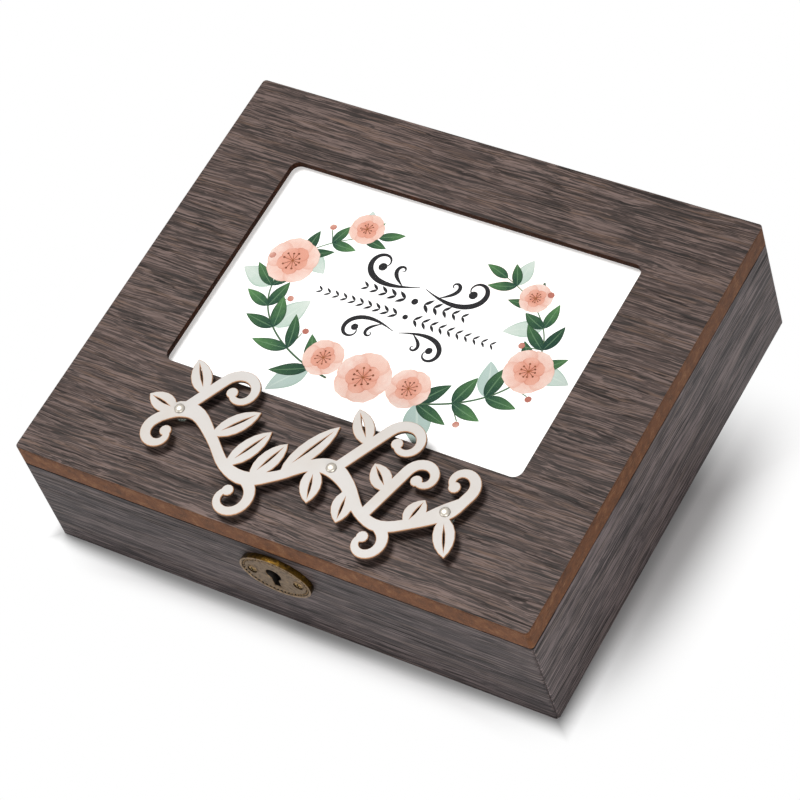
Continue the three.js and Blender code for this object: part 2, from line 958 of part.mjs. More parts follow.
/** The wood-look sheet on top of the board. */
function lidVeneer() {
  const z0 = lidThickness + seat;
  const outline = roundedRectangle(boxLength, boxDepth, boxCornerRadius);
  return cut(
    solid(raised(outline, z0, z0 + veneerThickness)),
    windowCut(z0 - overrun, z0 + veneerThickness + overrun),
    ...rivets.map(({ x, y }) => moved(rivetRoom(), x, y, 0)),
  );
}

/** The strike in the lid: a flat plate and the link that the bolt's nose passes through. */
function strikePlate() {
  const plate = block(-flangeHalf, flangeHalf, lockFrontY, -innerY, 0, lockPlate);
  const holeTop = boltMiddle + noseHeight / 2 + slide - lidZ;
  const holeBottom = boltMiddle - noseHeight / 2 - slide - lidZ;
  const link = block(
    linkOffset - linkThickness / 2,
    linkOffset + linkThickness / 2,
    boltY - linkHalf,
    boltY + linkHalf,
    holeBottom - linkThickness,
    lockPlate / 2,
  );
  const hole = block(
    linkOffset - linkThickness,
    linkOffset + linkThickness,
    boltY - linkHoleHalf,
    boltY + linkHoleHalf,
    holeBottom,
    holeTop,
  );
  return cut(
    joined(plate, cut(link, hole)),
    ...strikeScrews.map(({ place }) => screwRoomAt(flatScrew, place, "up")),
  );
}

/** The strike's two screws. */
const strikeScrews = [
  ["strike_screw_left", -strikeScrewX],
  ["strike_screw_right", strikeScrewX],
].map(([name, x]) => ({ name, place: [x, (lockFrontY - innerY) / 2, seat / 2] }));

/** A turn button with its hole on the origin, pointing along +X. */
function turnButton() {
  const radius = buttonWidth / 2;
  const shape = new THREE.Shape();
  shape.moveTo(0, -radius);
  shape.lineTo(buttonLength - 2 * radius, -radius);
  shape.absarc(buttonLength - 2 * radius, 0, radius, -Math.PI / 2, Math.PI / 2);
  shape.lineTo(0, radius);
  shape.absarc(0, 0, radius, Math.PI / 2, 1.5 * Math.PI);
  const plate = solid(raised(shape, -seat - buttonThickness, -seat, 6));
  return plate.subtract(screwRoomAt(domeScrew, [0, 0, buttonScrewZ], "up"));
}

// Scroll

/** A closed outline round a centre line, with a half width at each point and round ends. */
function ribbon(points, halfWidths) {
  const count = points.length;
  const left = [];
  const right = [];
  const directions = points.map((point, i) => {
    const before = points[Math.max(i - 1, 0)];
    const after = points[Math.min(i + 1, count - 1)];
    return after.clone().sub(before).normalize();
  });
  points.forEach((point, i) => {
    const normal = new THREE.Vector2(-directions[i].y, directions[i].x);
    left.push(point.clone().addScaledVector(normal, halfWidths[i]));
    right.push(point.clone().addScaledVector(normal, -halfWidths[i]));
  });
  const cap = (centre, direction, radius) => {
    const start = Math.atan2(direction.y, direction.x);
    return [-1, 0, 1].map((step) => {
      const turn = start + (step * Math.PI) / 4;
      return new THREE.Vector2(centre.x + radius * Math.cos(turn), centre.y + radius * Math.sin(turn));
    });
  };
  const end = cap(points[count - 1], directions[count - 1], halfWidths[count - 1]);
  const start = cap(points[0], directions[0].clone().negate(), halfWidths[0]);
  return new THREE.Shape([...right, ...end, ...left.reverse(), ...start]);
}

/** The stem: places as shares of the scroll's length and width, and widths as shares of a stroke. */
const stemShares = [
  [0.06, 0.42, 0.6],
  [0.1, 0.526, 1],
  [0.16, 0.53, 0.84],
  [0.235, 0.4, 0.62],
  [0.31, 0.25, 0.66],
  [0.385, 0.215, 0.84],
  [0.46, 0.31, 0.62],
  [0.525, 0.45, 0.72],
  [0.584, 0.486, 1],
  [0.65, 0.41, 0.8],
  [0.72, 0.26, 0.62],
  [0.79, 0.215, 0.7],
  [0.865, 0.31, 0.66],
  [0.931, 0.458, 1],
  [0.96, 0.56, 0.66],
];

/** The curls: start, heading in degrees, lead and radius as shares of the width, turn in degrees. */
const curlShares = [
  [0.108, 0.53, 62, 0.34, 0.152, -318],
  [0.592, 0.49, 62, 0.43, 0.152, -318],
  [0.732, 0.25, 74, 0.41, 0.122, -305],
  [0.375, 0.22, -30, 0.05, 0.158, -305],
  [0.79, 0.21, -35, 0.03, 0.13, -290],
  [0.954, 0.52, 72, 0.11, 0.122, 272],
  [0.062, 0.43, 236, 0.04, 0.122, 275],
];

/** The leaves: start as shares, heading in degrees, length as a share of the width. */
const leafShares = [
  [0.094, 0.51, 168, 0.25],
  [0.14, 0.68, 128, 0.3],
  [0.225, 0.42, 50, 0.36],
  [0.31, 0.25, 64, 0.38],
  [0.39, 0.23, 70, 0.34],
  [0.46, 0.33, 66, 0.5],
  [0.64, 0.72, 130, 0.3],
  [0.757, 0.46, 138, 0.24],
  [0.85, 0.28, 80, 0.22],
  [0.54, 0.46, -72, 0.28],
  [0.66, 0.39, -80, 0.26],
  [0.932, 0.44, -62, 0.32],
];
const curlEndShare = 0.38;
const curlWidthShares = [0.66, 0.34];

/** A point of the scroll from its shares. */
function scrollPoint(u, v) {
  return new THREE.Vector2(scrollX + u * scrollLength, scrollY + v * scrollWidth);
}

/** The scroll's stem. */
function stem() {
  const spine = new THREE.SplineCurve(stemShares.map(([u, v]) => scrollPoint(u, v)));
  const widths = new THREE.SplineCurve(stemShares.map(([, , share], i) => new THREE.Vector2(i, share)));
  const steps = 4 * (stemShares.length - 1);
  const halves = widths.getPoints(steps).map(({ y }) => (y * scrollStroke) / 2);
  return scrollLayer(ribbon(spine.getPoints(steps), halves));
}

/** A curl that runs straight, then tightens as it turns, and ends in a round bud. */
function curl([u, v, heading, leadShare, radiusShare, turn]) {
  const steps = Math.round(Math.abs(turn) / 13);
  const stepTurn = THREE.MathUtils.degToRad(turn) / steps;
  const lead = new THREE.Vector2(leadShare * scrollWidth, 0);
  lead.rotateAround(new THREE.Vector2(), THREE.MathUtils.degToRad(heading));
  const foot = scrollPoint(u, v);
  const points = [foot, foot.clone().add(lead)];
  const [wide, narrow] = curlWidthShares;
  const halves = [(wide * scrollStroke) / 2, (wide * scrollStroke) / 2];
  for (let i = 0; i < steps; i += 1) {
    const along = (i + 0.5) / steps;
    const radius = radiusShare * scrollWidth * curlEndShare ** along;
    const direction = THREE.MathUtils.degToRad(heading) + stepTurn * (i + 0.5);
    const stride = 2 * radius * Math.sin(Math.abs(stepTurn) / 2);
    const step = new THREE.Vector2(stride * Math.cos(direction), stride * Math.sin(direction));
    points.push(step.add(points[points.length - 1]));
    halves.push(((wide + (narrow - wide) * along) * scrollStroke) / 2);
  }
  const end = points[points.length - 1];
  const bud = new THREE.Shape().absarc(end.x, end.y, budRadius, 0, 2 * Math.PI);
  return joined(scrollLayer(ribbon(points, halves)), scrollLayer(bud, 6));
}

/** A pointed leaf with a slit along its middle. */
function leaf([u, v, heading, lengthShare]) {
  const length = lengthShare * scrollWidth;
  const turn = THREE.MathUtils.degToRad(heading);
  const start = scrollPoint(u, v);
  const at = (x, y) => {
    return new THREE.Vector2(x, y).rotateAround(new THREE.Vector2(), turn).add(start);
  };
  const [nearBelly, farBelly] = leafBellyShares;
  const outline = (from, to, width) => {
    const half = width / 2;
    const shape = new THREE.Shape();
    const span = to - from;
    shape.moveTo(...at(from, 0).toArray());
    shape.bezierCurveTo(
      ...at(from + span / 4, -nearBelly * half).toArray(),
      ...at(from + (3 * span) / 4, -farBelly * half).toArray(),
      ...at(to, 0).toArray(),
    );
    shape.bezierCurveTo(
      ...at(from + (3 * span) / 4, farBelly * half).toArray(),
      ...at(from + span / 4, nearBelly * half).toArray(),
      ...at(from, 0).toArray(),
    );
    return shape;
  };
  const blade = scrollLayer(outline(0, length, leafWidth), 7);
  const [slitFrom, slitTo] = leafSlitShares.map((share) => share * length);
  const opening = outline(slitFrom, slitTo, leafSlit);
  const slit = solid(raised(opening, scrollZ - overrun, scrollZ + scrollThickness + overrun, 3));
  return { blade, slit };
}

/** A flat outline as thick as the scroll. */
function scrollLayer(shape, curveSegments = 4) {
  return solid(raised(shape, scrollZ, scrollZ + scrollThickness, curveSegments));
}

/** The scroll in the lid's frame. */
function scroll() {
  const leaves = leafShares.map(leaf);
  return cut(
    joined(stem(), ...curlShares.map(curl), ...leaves.map(({ blade }) => blade)),
    ...leaves.map(({ slit }) => slit),
    ...rivets.map(({ x, y }) => moved(rivetRoom(), x, y, 0)),
  );
}

/** A clear spacer with a hole for the rivet's shank. */
function spacer() {
  const z0 = veneerTop + seat;
  const bore = rivetShankRadius + holeClearance;
  return solid(
    turned(
      [
        [bore, z0],
        [spacerRadius, z0],
        [spacerRadius, z0 + spacerHeight],
        [bore, z0 + spacerHeight],
        [bore, z0],
      ],
      14,
    ),
  );
}

/** A domed rivet whose shank ends in the board. */
function rivet() {
  const under = scrollZ + scrollThickness + seat;
  const point = lidThickness - rivetGrip;
  return solid(
    turned(
      [
        [0, point],
        [rivetShankRadius, point + rivetShankRadius],
        [rivetShankRadius, under],
        [rivetHeadRadius, under],
        ...rivetHeadShares.map(([out, up]) => [out * rivetHeadRadius, under + up * rivetHeadHeight]),
        [0, under + rivetHeadHeight],
      ],
      14,
    ),
  );
}

/** The room of a rivet's shank in all that it passes. */
function rivetRoom() {
  const low = lidThickness - rivetGrip - seat;
  const high = scrollZ + scrollThickness + overrun;
  return moved(rod(rivetShankRadius + holeClearance, high - low, 14), 0, 0, low);
}

// The base

const base = new THREE.Group();
base.add(
  piece("front_wall", frontWall(), wallBoard),
  piece("back_wall", backWall(), wallBoard),
  piece("left_wall", wall(boxDepth, boxLength, -90), wallBoard),
  piece("right_wall", wall(boxDepth, boxLength, 90), wallBoard),
  piece("bottom_panel", bottomPanel(), hardboard),
  piece("bottom_felt", bottomFelt(), backFelt),
  piece("floor_lining", floorLining(), velvet),
  piece("front_lining", frontLining(), velvet),
  piece("back_lining", backLining(), velvet),
  piece("left_lining", sideLining(-1), velvet),
  piece("right_lining", sideLining(1), velvet),
  piece("escutcheon_plate", escutcheonPlate(), antiqueBrass),
  piece("lock_case", lockCase(), steel),
  piece("lock_cap", lockCap(), steel),
  piece("lock_spring", lockSpring(), steel),
  piece("lock_bolt", lockBolt(), plainBrass),
);
plateScrews.forEach(({ name, place }) => {
  base.add(screwMesh(name, plateScrew, place, "back", antiqueBrass));
});
lockScrews.forEach(({ name, place }) => {
  base.add(screwMesh(name, flatScrew, place, "front", plainBrass));
});
bumpers.forEach(({ name, x, y }) => {
  const mesh = piece(name, bumper(), darkRubber);
  mesh.position.set(x, y, bumperZ);
  base.add(mesh);
});

// The lid, in a group that stands on the lid's underside

const lid = new THREE.Group();
lid.position.z = lidZ;
lid.add(
  piece("lid_panel", lidPanel(), lidBoard),
  piece("lid_veneer", lidVeneer(), oakSheet),
  piece("glass_pane", windowSheet(printLength, printWidth, glassZ, glassThickness), clearGlass),
  piece("print_card", windowSheet(printLength, printWidth, printZ, printThickness), printedCard),
  piece("backing_board", windowSheet(printLength, printWidth, backingZ, backingThickness), hardboard),
  piece("scroll_ornament", scroll(), pearlBoard),
  piece("strike_plate", strikePlate(), plainBrass),
);
strikeScrews.forEach(({ name, place }) => {
  lid.add(screwMesh(name, flatScrew, place, "up", plainBrass));
});
rivets.forEach(({ name, x, y }) => {
  const tube = piece("ornament_spacer_" + name, spacer(), clearPlastic);
  const nail = piece("ornament_rivet_" + name, rivet(), nickel);
  tube.position.set(x, y, 0);
  nail.position.set(x, y, 0);
  lid.add(tube, nail);
});
buttons.forEach(({ side, x, y, degrees }) => {
  const button = piece("turn_button_" + side, turnButton(), plainBrass);
  button.position.set(x, y, 0);
  button.rotation.z = THREE.MathUtils.degToRad(degrees);
  lid.add(button);
  lid.add(screwMesh("turn_button_screw_" + side, domeScrew, [x, y, buttonScrewZ], "up", plainBrass));
});

// The hinges

hinges.forEach(({ side, x, screws }) => {
  const lower = piece("hinge_base_leaf_" + side, hingeLeaf(-1, baseKnuckles, lidKnuckles), plainBrass);
  const upper = piece("hinge_lid_leaf_" + side, hingeLeaf(1, lidKnuckles, baseKnuckles), plainBrass);
  const pin = piece("hinge_pin_" + side, hingePin(), plainBrass);
  lower.position.set(x, pinY, pinZ);
  pin.position.set(x, pinY, pinZ);
  upper.position.set(x, pinY, pinZ - lidZ);
  base.add(lower, pin);
  lid.add(upper);
  screws.forEach((screwX, i) => {
    const label = side + "_" + (i + 1);
    const below = [screwX, hingeScrewY, baseScrewZ];
    const above = [screwX, hingeScrewY, lidScrewZ];
    base.add(screwMesh("hinge_base_screw_" + label, flatScrew, below, "down", plainBrass));
    lid.add(screwMesh("hinge_lid_screw_" + label, flatScrew, above, "up", plainBrass));
  });
});

const group = new THREE.Group();
group.name = "memory_box";
group.add(base, lid);

export default group;
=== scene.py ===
"""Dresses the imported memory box: a shallow wood-look keepsake box with a picture window in its lid.

Everything is in metres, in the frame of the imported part. The box stands on z = 0 with its front
towards -Y, and its sizes are written in millimetres times MM.
"""

import logging
import math
import random
from collections.abc import Callable, Iterable
from dataclasses import dataclass, field
from enum import Enum
from itertools import zip_longest

import bmesh
import bpy
from mathutils import Matrix, Vector


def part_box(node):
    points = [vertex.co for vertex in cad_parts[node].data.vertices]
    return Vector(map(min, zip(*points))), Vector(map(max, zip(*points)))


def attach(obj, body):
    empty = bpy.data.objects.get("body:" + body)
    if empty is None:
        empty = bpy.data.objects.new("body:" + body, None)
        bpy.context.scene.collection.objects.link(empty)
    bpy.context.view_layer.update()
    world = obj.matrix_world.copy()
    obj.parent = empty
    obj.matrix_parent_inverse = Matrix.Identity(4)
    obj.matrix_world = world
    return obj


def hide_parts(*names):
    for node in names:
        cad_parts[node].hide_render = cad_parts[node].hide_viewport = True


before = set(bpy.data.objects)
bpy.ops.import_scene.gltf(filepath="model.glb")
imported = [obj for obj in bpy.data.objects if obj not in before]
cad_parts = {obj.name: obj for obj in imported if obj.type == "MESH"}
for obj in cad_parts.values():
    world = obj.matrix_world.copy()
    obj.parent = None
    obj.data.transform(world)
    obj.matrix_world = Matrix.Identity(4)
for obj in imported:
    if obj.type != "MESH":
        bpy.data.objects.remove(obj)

MM = 0.001
log = logging.getLogger("memory_box")

Colour = tuple[float, float, float, float]
Point = tuple[float, float, float]
Move = Callable[[Vector], Vector]


class Body(Enum):
    """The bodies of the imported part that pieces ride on."""

    BASE = "base"
    LID = "lid"
    BOLT = "bolt"
    BUTTON_LEFT = "button_left"
    BUTTON_RIGHT = "button_right"
    BUTTON_FRONT = "button_front"
    BUTTON_BACK = "button_back"


class Axis(Enum):
    """The direction that grain or brushing runs in."""

    X = 0
    Y = 1
    Z = 2


class Way(Enum):
    """The way that a screw's shank points, from its head."""

    DOWN = (0, 0, -1)
    UP = (0, 0, 1)
    FRONT = (0, -1, 0)
    BACK = (0, 1, 0)


# Materials


# Settings that several nodes share.
SMOOTH = {"interpolation_type": "SMOOTHSTEP"}
RGBA = {"data_type": "RGBA"}
MULTIPLY = {"operation": "MULTIPLY"}
MAXIMUM = {"operation": "MAXIMUM"}


def linear(code: str, alpha: float = 1.0) -> Colour:
    """Turns an sRGB hex code into a linear colour.

    Args:
        code: Six hex digits, with or without a leading hash.
        alpha: The colour's alpha.

    Returns:
        Red, green, blue and alpha as Blender's shaders take them.
    """
    digits = code.lstrip("#")
    shares = [int(digits[i : i + 2], 16) / 255 for i in (0, 2, 4)]
    red, green, blue = (s / 12.92 if s <= 0.04045 else ((s + 0.055) / 1.055) ** 2.4 for s in shares)
    return red, green, blue, alpha


def set_inputs(tree: bpy.types.NodeTree, node: bpy.types.Node, inputs: dict) -> None:
    """Sets a node's inputs.

    Args:
        tree: The node's tree.
        node: The node.
        inputs: Values, or sockets to link, by the input's name or number.
    """
    for name, value in inputs.items():
        if isinstance(value, bpy.types.NodeSocket):
            tree.links.new(value, node.inputs[name])
        else:
            node.inputs[name].default_value = value


def add_node(tree: bpy.types.NodeTree, kind: str, settings: dict | None = None, inputs: dict | None = None):
    """Adds a shader node with its settings and its inputs.

    Args:
        tree: The node tree that takes the node.
        kind: Blender's name of the node, such as ShaderNodeTexNoise.
        settings: The node's own properties. "stops" is a colour ramp's list of place and colour.
        inputs: Values or sockets by the input's name or number.

    Returns:
        The new node.
    """
    node = tree.nodes.new(kind)
    for name, value in (settings or {}).items():
        if name == "stops":
            elements = node.color_ramp.elements
            while len(elements) < len(value):
                elements.new(1.0)
            for element, (place, colour) in zip(elements, value):
                element.position = place
                element.color = colour
        else:
            setattr(node, name, value)
    set_inputs(tree, node, inputs or {})
    return node


def stretched(tree: bpy.types.NodeTree, source, along: float, across: float, axis: Axis, shift: float = 0.0):
    """Scales coordinates so that a pattern is long along one axis and fine across it.

    Args:
        tree: The material's node tree.
        source: The socket that holds the coordinates.
        along: The pattern's size along the axis, in millimetres.
        across: Its size across the axis, in millimetres.
        axis: The axis that it runs along.
        shift: A shift in the pattern's own units, so that two layers differ.

    Returns:
        The socket with the scaled coordinates.
    """
    scale = [1 / (across * MM)] * 3
    scale[axis.value] = 1 / (along * MM)
    inputs = {"Vector": source, "Scale": scale, "Location": (shift, shift, shift)}
    return add_node(tree, "ShaderNodeMapping", {"vector_type": "POINT"}, inputs).outputs["Vector"]


@dataclass(frozen=True)
class Finish:
    """A surface finish that is wired once and then shared by the pieces that have it."""

    name: str
    slot: str

    def material(self) -> bpy.types.Material:
        """Returns the finish's material, made on its first use."""
        found = bpy.data.materials.get(self.name)
        if found is None:
            found = bpy.data.materials.new(self.name)
            found.use_nodes = True
            shader = found.node_tree.nodes["Principled BSDF"]
            self.wire(found.node_tree, shader)
        return found

    def wire(self, tree: bpy.types.NodeTree, shader) -> None:
        """Wires the finish's own nodes into the shader."""
        raise NotImplementedError

    @staticmethod
    def coordinates(tree: bpy.types.NodeTree):
        """Returns the socket with the object's own coordinates."""
        return add_node(tree, "ShaderNodeTexCoord").outputs["Object"]

    @staticmethod
    def bump(tree: bpy.types.NodeTree, shader, height, depth: float, strength: float = 1.0) -> None:
        """Links a height pattern into the shader's normal.

        Args:
            tree: The material's node tree.
            shader: The shader that takes the normal.
            height: The socket with the height, from 0 to 1.
            depth: The depth of the pattern, in millimetres.
            strength: The share of the bump that shows.
        """
        inputs = {"Height": height, "Distance": depth * MM, "Strength": strength}
        node = add_node(tree, "ShaderNodeBump", {}, inputs)
        tree.links.new(node.outputs["Normal"], shader.inputs["Normal"])


@dataclass(frozen=True)
class Streaks:
    """One layer of a wood print: fine lines along the grain, and the patches that they keep to.

    Each of fine and patches holds a size along and across the grain in millimetres, the detail, and
    the noise values where the layer starts and is full.
    """

    tone: str
    share: float
    seed: float
    fine: tuple[float, float, float, float, float]
    patches: tuple[float, float, float, float, float] | None = None


@dataclass(frozen=True)
class OakFilm(Finish):
    """Weathered-oak decor film, printed and calendered on to fibreboard.

    It gives the eye long wavy grey-brown lines, jagged dark clusters of pores and pale tan ones, under
    a satin, faintly embossed face.
    """

    grain: Axis = Axis.X
    ground: str = "655954"
    layers: tuple[Streaks, ...] = ()
    shift: float = 0.0
    sway: float = 5.0
    roughness: float = 0.5
    gloss: float = 0.18

    def wire(self, tree: bpy.types.NodeTree, shader) -> None:
        """Builds the layers of the print, the gloss and the emboss."""
        place = self.coordinates(tree)
        wander = add_node(
            tree,
            "ShaderNodeTexNoise",
            {},
            {"Vector": stretched(tree, place, 46, 14, self.grain, self.shift), "Scale": 1.0, "Detail": 5.0},
        )
        # The lines wander sideways by a millimetre or two along their length.
        reach = [self.sway * MM] * 3
        reach[self.grain.value] = 0.0
        aside = add_node(
            tree, "ShaderNodeVectorMath", MULTIPLY, {0: wander.outputs["Color"], 1: reach}
        ).outputs[0]
        swayed = add_node(tree, "ShaderNodeVectorMath", {"operation": "ADD"}, {0: place, 1: aside}).outputs[0]

        def mask(sizes: tuple[float, float, float, float, float], seed: float, share: float):
            """Returns the mask of one noise that is long along the grain."""
            along, across, detail, start, full = sizes
            vector = stretched(tree, swayed, along, across, self.grain, self.shift + seed)
            inputs = {"Vector": vector, "Scale": 1.0, "Detail": detail, "Roughness": 0.58}
            value = add_node(tree, "ShaderNodeTexNoise", {}, inputs).outputs["Fac"]
            return add_node(
                tree,
                "ShaderNodeMapRange",
                SMOOTH,
                {"Value": value, "From Min": start, "From Max": full, "To Min": 0.0, "To Max": share},
            ).outputs["Result"]

        colour = linear(self.ground)
        pores = None
        for layer in self.layers:
            cover = mask(layer.fine, layer.seed, layer.share)
            if layer.patches is not None:
                patch = mask(layer.patches, layer.seed + 50, 1.0)
                cover = add_node(tree, "ShaderNodeMath", MULTIPLY, {0: cover, 1: patch}).outputs[0]
                pores = pores or cover
            colour = add_node(
                tree, "ShaderNodeMix", RGBA, {0: cover, 6: colour, 7: linear(layer.tone)}
            ).outputs[2]
        set_inputs(tree, shader, {"Base Color": colour, "Specular IOR Level": self.gloss})
        inputs = {"Value": pores, "To Min": self.roughness, "To Max": self.roughness + 0.2}
        matt = add_node(tree, "ShaderNodeMapRange", {}, inputs).outputs["Result"]
        tree.links.new(matt, shader.inputs["Roughness"])
        # The emboss follows the pores, with a fine silk of 0.3 mm between them.
        silk = mask((14, 0.3, 2.0, 0.3, 0.7), 91.0, 0.3)
        sunk = add_node(tree, "ShaderNodeMath", {"operation": "SUBTRACT"}, {0: silk, 1: pores}).outputs[0]
        self.bump(tree, shader, sunk, 0.05, 0.5)


def oak_layers(dark: str, light: str, streak: str, tan: str, run: float = 1.0) -> tuple[Streaks, ...]:
    """Returns the layers of the oak print in four tones.

    Args:
        dark: The dark bands and lines.
        light: The light ones.
        streak: The jagged clusters and the pores.
        tan: The warm patches.
        run: How far the bands and lines run along the grain, as a share of a long straight board's.

    Returns:
        The layers, from the lowest to the top one.
    """
    return (
        Streaks(dark, 0.7, 3.1, (200 * run, 7, 1, 0.5, 0.32)),
        Streaks(light, 0.6, 9.7, (180 * run, 6, 1, 0.52, 0.7)),
        Streaks(tan, 0.55, 71.3, (70 * run, 2.6, 2, 0.49, 0.64)),
        Streaks(dark, 0.9, 15.3, (140 * run, 1.1, 3, 0.51, 0.38)),
        Streaks(light, 0.7, 21.9, (130 * run, 0.9, 3, 0.51, 0.66)),
        Streaks(streak, 0.9, 44.3, (70 * run, 0.6, 3, 0.5, 0.39), (60, 5, 2, 0.44, 0.58)),
        Streaks(streak, 0.9, 27.1, (48, 0.7, 3, 0.5, 0.42), (60, 3.5, 2, 0.48, 0.6)),
        Streaks(light, 0.75, 53.9, (30, 0.65, 2, 0.51, 0.62)),
        Streaks(streak, 0.8, 39.1, (24, 0.65, 2, 0.47, 0.35)),
        Streaks(streak, 0.6, 61.7, (9, 0.45, 1, 0.46, 0.33)),
    )


@dataclass(frozen=True)
class PaintedBoard(Finish):
    """Fibreboard with a sprayed and rubbed brown paint on its cut edge.

    It gives the eye an even brown with faint mottling, small pale rub marks and a fine tooth.
    """

    colour: str = "663e23"
    deep: str = "472a17"
    rub: str = "8a6443"
    roughness: float = 0.58
    gloss: float = 0.15

    def wire(self, tree: bpy.types.NodeTree, shader) -> None:
        """Builds the mottling, the rub marks and the tooth."""
        place = self.coordinates(tree)
        blotch = add_node(
            tree,
            "ShaderNodeTexNoise",
            {},
            {"Vector": place, "Scale": 1 / (4 * MM), "Detail": 5.0, "Roughness": 0.7},
        ).outputs["Fac"]
        base = add_node(
            tree,
            "ShaderNodeValToRGB",
            {"stops": [(0.3, linear(self.deep)), (0.55, linear(self.colour)), (0.8, linear(self.rub))]},
            {"Fac": blotch},
        ).outputs["Color"]
        rubbed = stretched(tree, place, 3.5, 0.5, Axis.Y, 7.7)
        scuff = add_node(
            tree, "ShaderNodeTexNoise", {}, {"Vector": rubbed, "Scale": 1.0, "Detail": 4.0, "Distortion": 1.4}
        ).outputs["Fac"]
        mark = add_node(
            tree,
            "ShaderNodeMapRange",
            SMOOTH,
            {"Value": scuff, "From Min": 0.58, "From Max": 0.7, "To Min": 0.0, "To Max": 0.7},
        ).outputs["Result"]
        colour = add_node(tree, "ShaderNodeMix", RGBA, {0: mark, 6: base, 7: linear(self.rub)}).outputs[2]
        inputs = {
            "Base Color": colour,
            "Roughness": self.roughness,
            "Specular IOR Level": self.gloss,
        }
        set_inputs(tree, shader, inputs)
        # The tooth is about 0.4 mm wide, which is coarser than the real one so that it shows.
        tooth = add_node(
            tree, "ShaderNodeTexNoise", {}, {"Vector": place, "Scale": 1 / (0.4 * MM), "Detail": 2.0}
        ).outputs["Fac"]
        self.bump(tree, shader, tooth, 0.03, 0.5)


@dataclass(frozen=True)
class PearlPaint(Finish):
    """Pearl lacquer sprayed on thin board: an off-white with a soft silky sheen and a fine sparkle."""

    colour: str = "cdc8c3"
    warm: str = "c8c0b8"

    def wire(self, tree: bpy.types.NodeTree, shader) -> None:
        """Builds the faint clouds of the lacquer and its mica grain."""
        place = self.coordinates(tree)
        cloud = add_node(
            tree, "ShaderNodeTexNoise", {}, {"Vector": place, "Scale": 1 / (18 * MM), "Detail": 3.0}
        ).outputs["Fac"]
        colour = add_node(
            tree,
            "ShaderNodeValToRGB",
            {"stops": [(0.35, linear(self.warm)), (0.62, linear(self.colour))]},
            {"Fac": cloud},
        ).outputs["Color"]
        tree.links.new(colour, shader.inputs["Base Color"])
        # The mica flakes are 0.25 mm across, where real ones are a tenth of that and wouldn't show.
        mica = add_node(
            tree, "ShaderNodeTexVoronoi", {"feature": "F1"}, {"Vector": place, "Scale": 1 / (0.25 * MM)}
        )
        rough = add_node(
            tree, "ShaderNodeMapRange", {}, {"Value": mica.outputs["Color"], "To Min": 0.3, "To Max": 0.52}
        ).outputs["Result"]
        set_inputs(tree, shader, {"Roughness": rough, "Coat Weight": 0.1, "Coat Roughness": 0.3})
        self.bump(tree, shader, mica.outputs["Distance"], 0.01, 0.35)


@dataclass(frozen=True)
class BurntEdge(Finish):
    """The laser-cut edge of thin board: tan at the painted face, darker brown towards the bottom."""

    tan: str = "b98a64"
    brown: str = "513626"
    bottom_brown: str = "271b14"
    top: float = 61.2
    thickness: float = 1.5

    def wire(self, tree: bpy.types.NodeTree, shader) -> None:
        """Builds the change of colour down the edge and the fine lines that the beam leaves."""
        place = self.coordinates(tree)
        height = add_node(tree, "ShaderNodeSeparateXYZ", {}, {"Vector": place}).outputs["Z"]
        share = add_node(
            tree,
            "ShaderNodeMapRange",
            {},
            {
                "Value": height,
                "From Min": (self.top - self.thickness) * MM,
                "From Max": self.top * MM,
            },
        ).outputs["Result"]
        # The edge runs from tan at the top to its darkest brown at the bottom.
        colour = add_node(
            tree,
            "ShaderNodeValToRGB",
            {"stops": [(0.0, linear(self.bottom_brown)), (0.72, linear(self.brown)), (0.88, linear(self.tan))]},
            {"Fac": share},
        ).outputs["Color"]
        set_inputs(tree, shader, {"Base Color": colour, "Roughness": 0.72})
        lines = add_node(
            tree,
            "ShaderNodeTexNoise",
            {},
            {"Vector": stretched(tree, place, 4, 0.3, Axis.Z), "Scale": 1.0, "Detail": 2.0},
        ).outputs["Fac"]
        self.bump(tree, shader, lines, 0.03, 0.5)


@dataclass(frozen=True)
class Metal(Finish):
    """A plated or lacquered metal: a clear reflection broken by fine brushing and a little tarnish."""

    colour: str = "c9c3ba"
    tarnish: str = "8f8a82"
    roughness: float = 0.24
    brushing: Axis = Axis.X
    tarnish_share: float = 0.4
    scratch: float = 0.02

    def wire(self, tree: bpy.types.NodeTree, shader) -> None:
        """Builds the tarnish, the brushing and the uneven gloss."""
        place = self.coordinates(tree)
        cloud = add_node(
            tree,
            "ShaderNodeTexNoise",
            {},
            {"Vector": place, "Scale": 1 / (3 * MM), "Detail": 5.0, "Roughness": 0.6},
        ).outputs["Fac"]
        share = add_node(
            tree,
            "ShaderNodeMapRange",
            SMOOTH,
            {"Value": cloud, "From Min": 0.48, "From Max": 0.72, "To Max": self.tarnish_share},
        ).outputs["Result"]
        colour = add_node(
            tree, "ShaderNodeMix", RGBA, {0: share, 6: linear(self.colour), 7: linear(self.tarnish)}
        ).outputs[2]
        set_inputs(tree, shader, {"Base Color": colour, "Metallic": 1.0})
        rough = add_node(
            tree,
            "ShaderNodeMapRange",
            {},
            {"Value": cloud, "From Min": 0.3, "To Min": self.roughness, "To Max": self.roughness + 0.2},
        ).outputs["Result"]
        tree.links.new(rough, shader.inputs["Roughness"])
        brush = add_node(
            tree,
            "ShaderNodeTexNoise",
            {},
            {"Vector": stretched(tree, place, 5, 0.16, self.brushing), "Scale": 1.0, "Detail": 3.0},
        ).outputs["Fac"]
        self.bump(tree, shader, brush, self.scratch, 0.6)


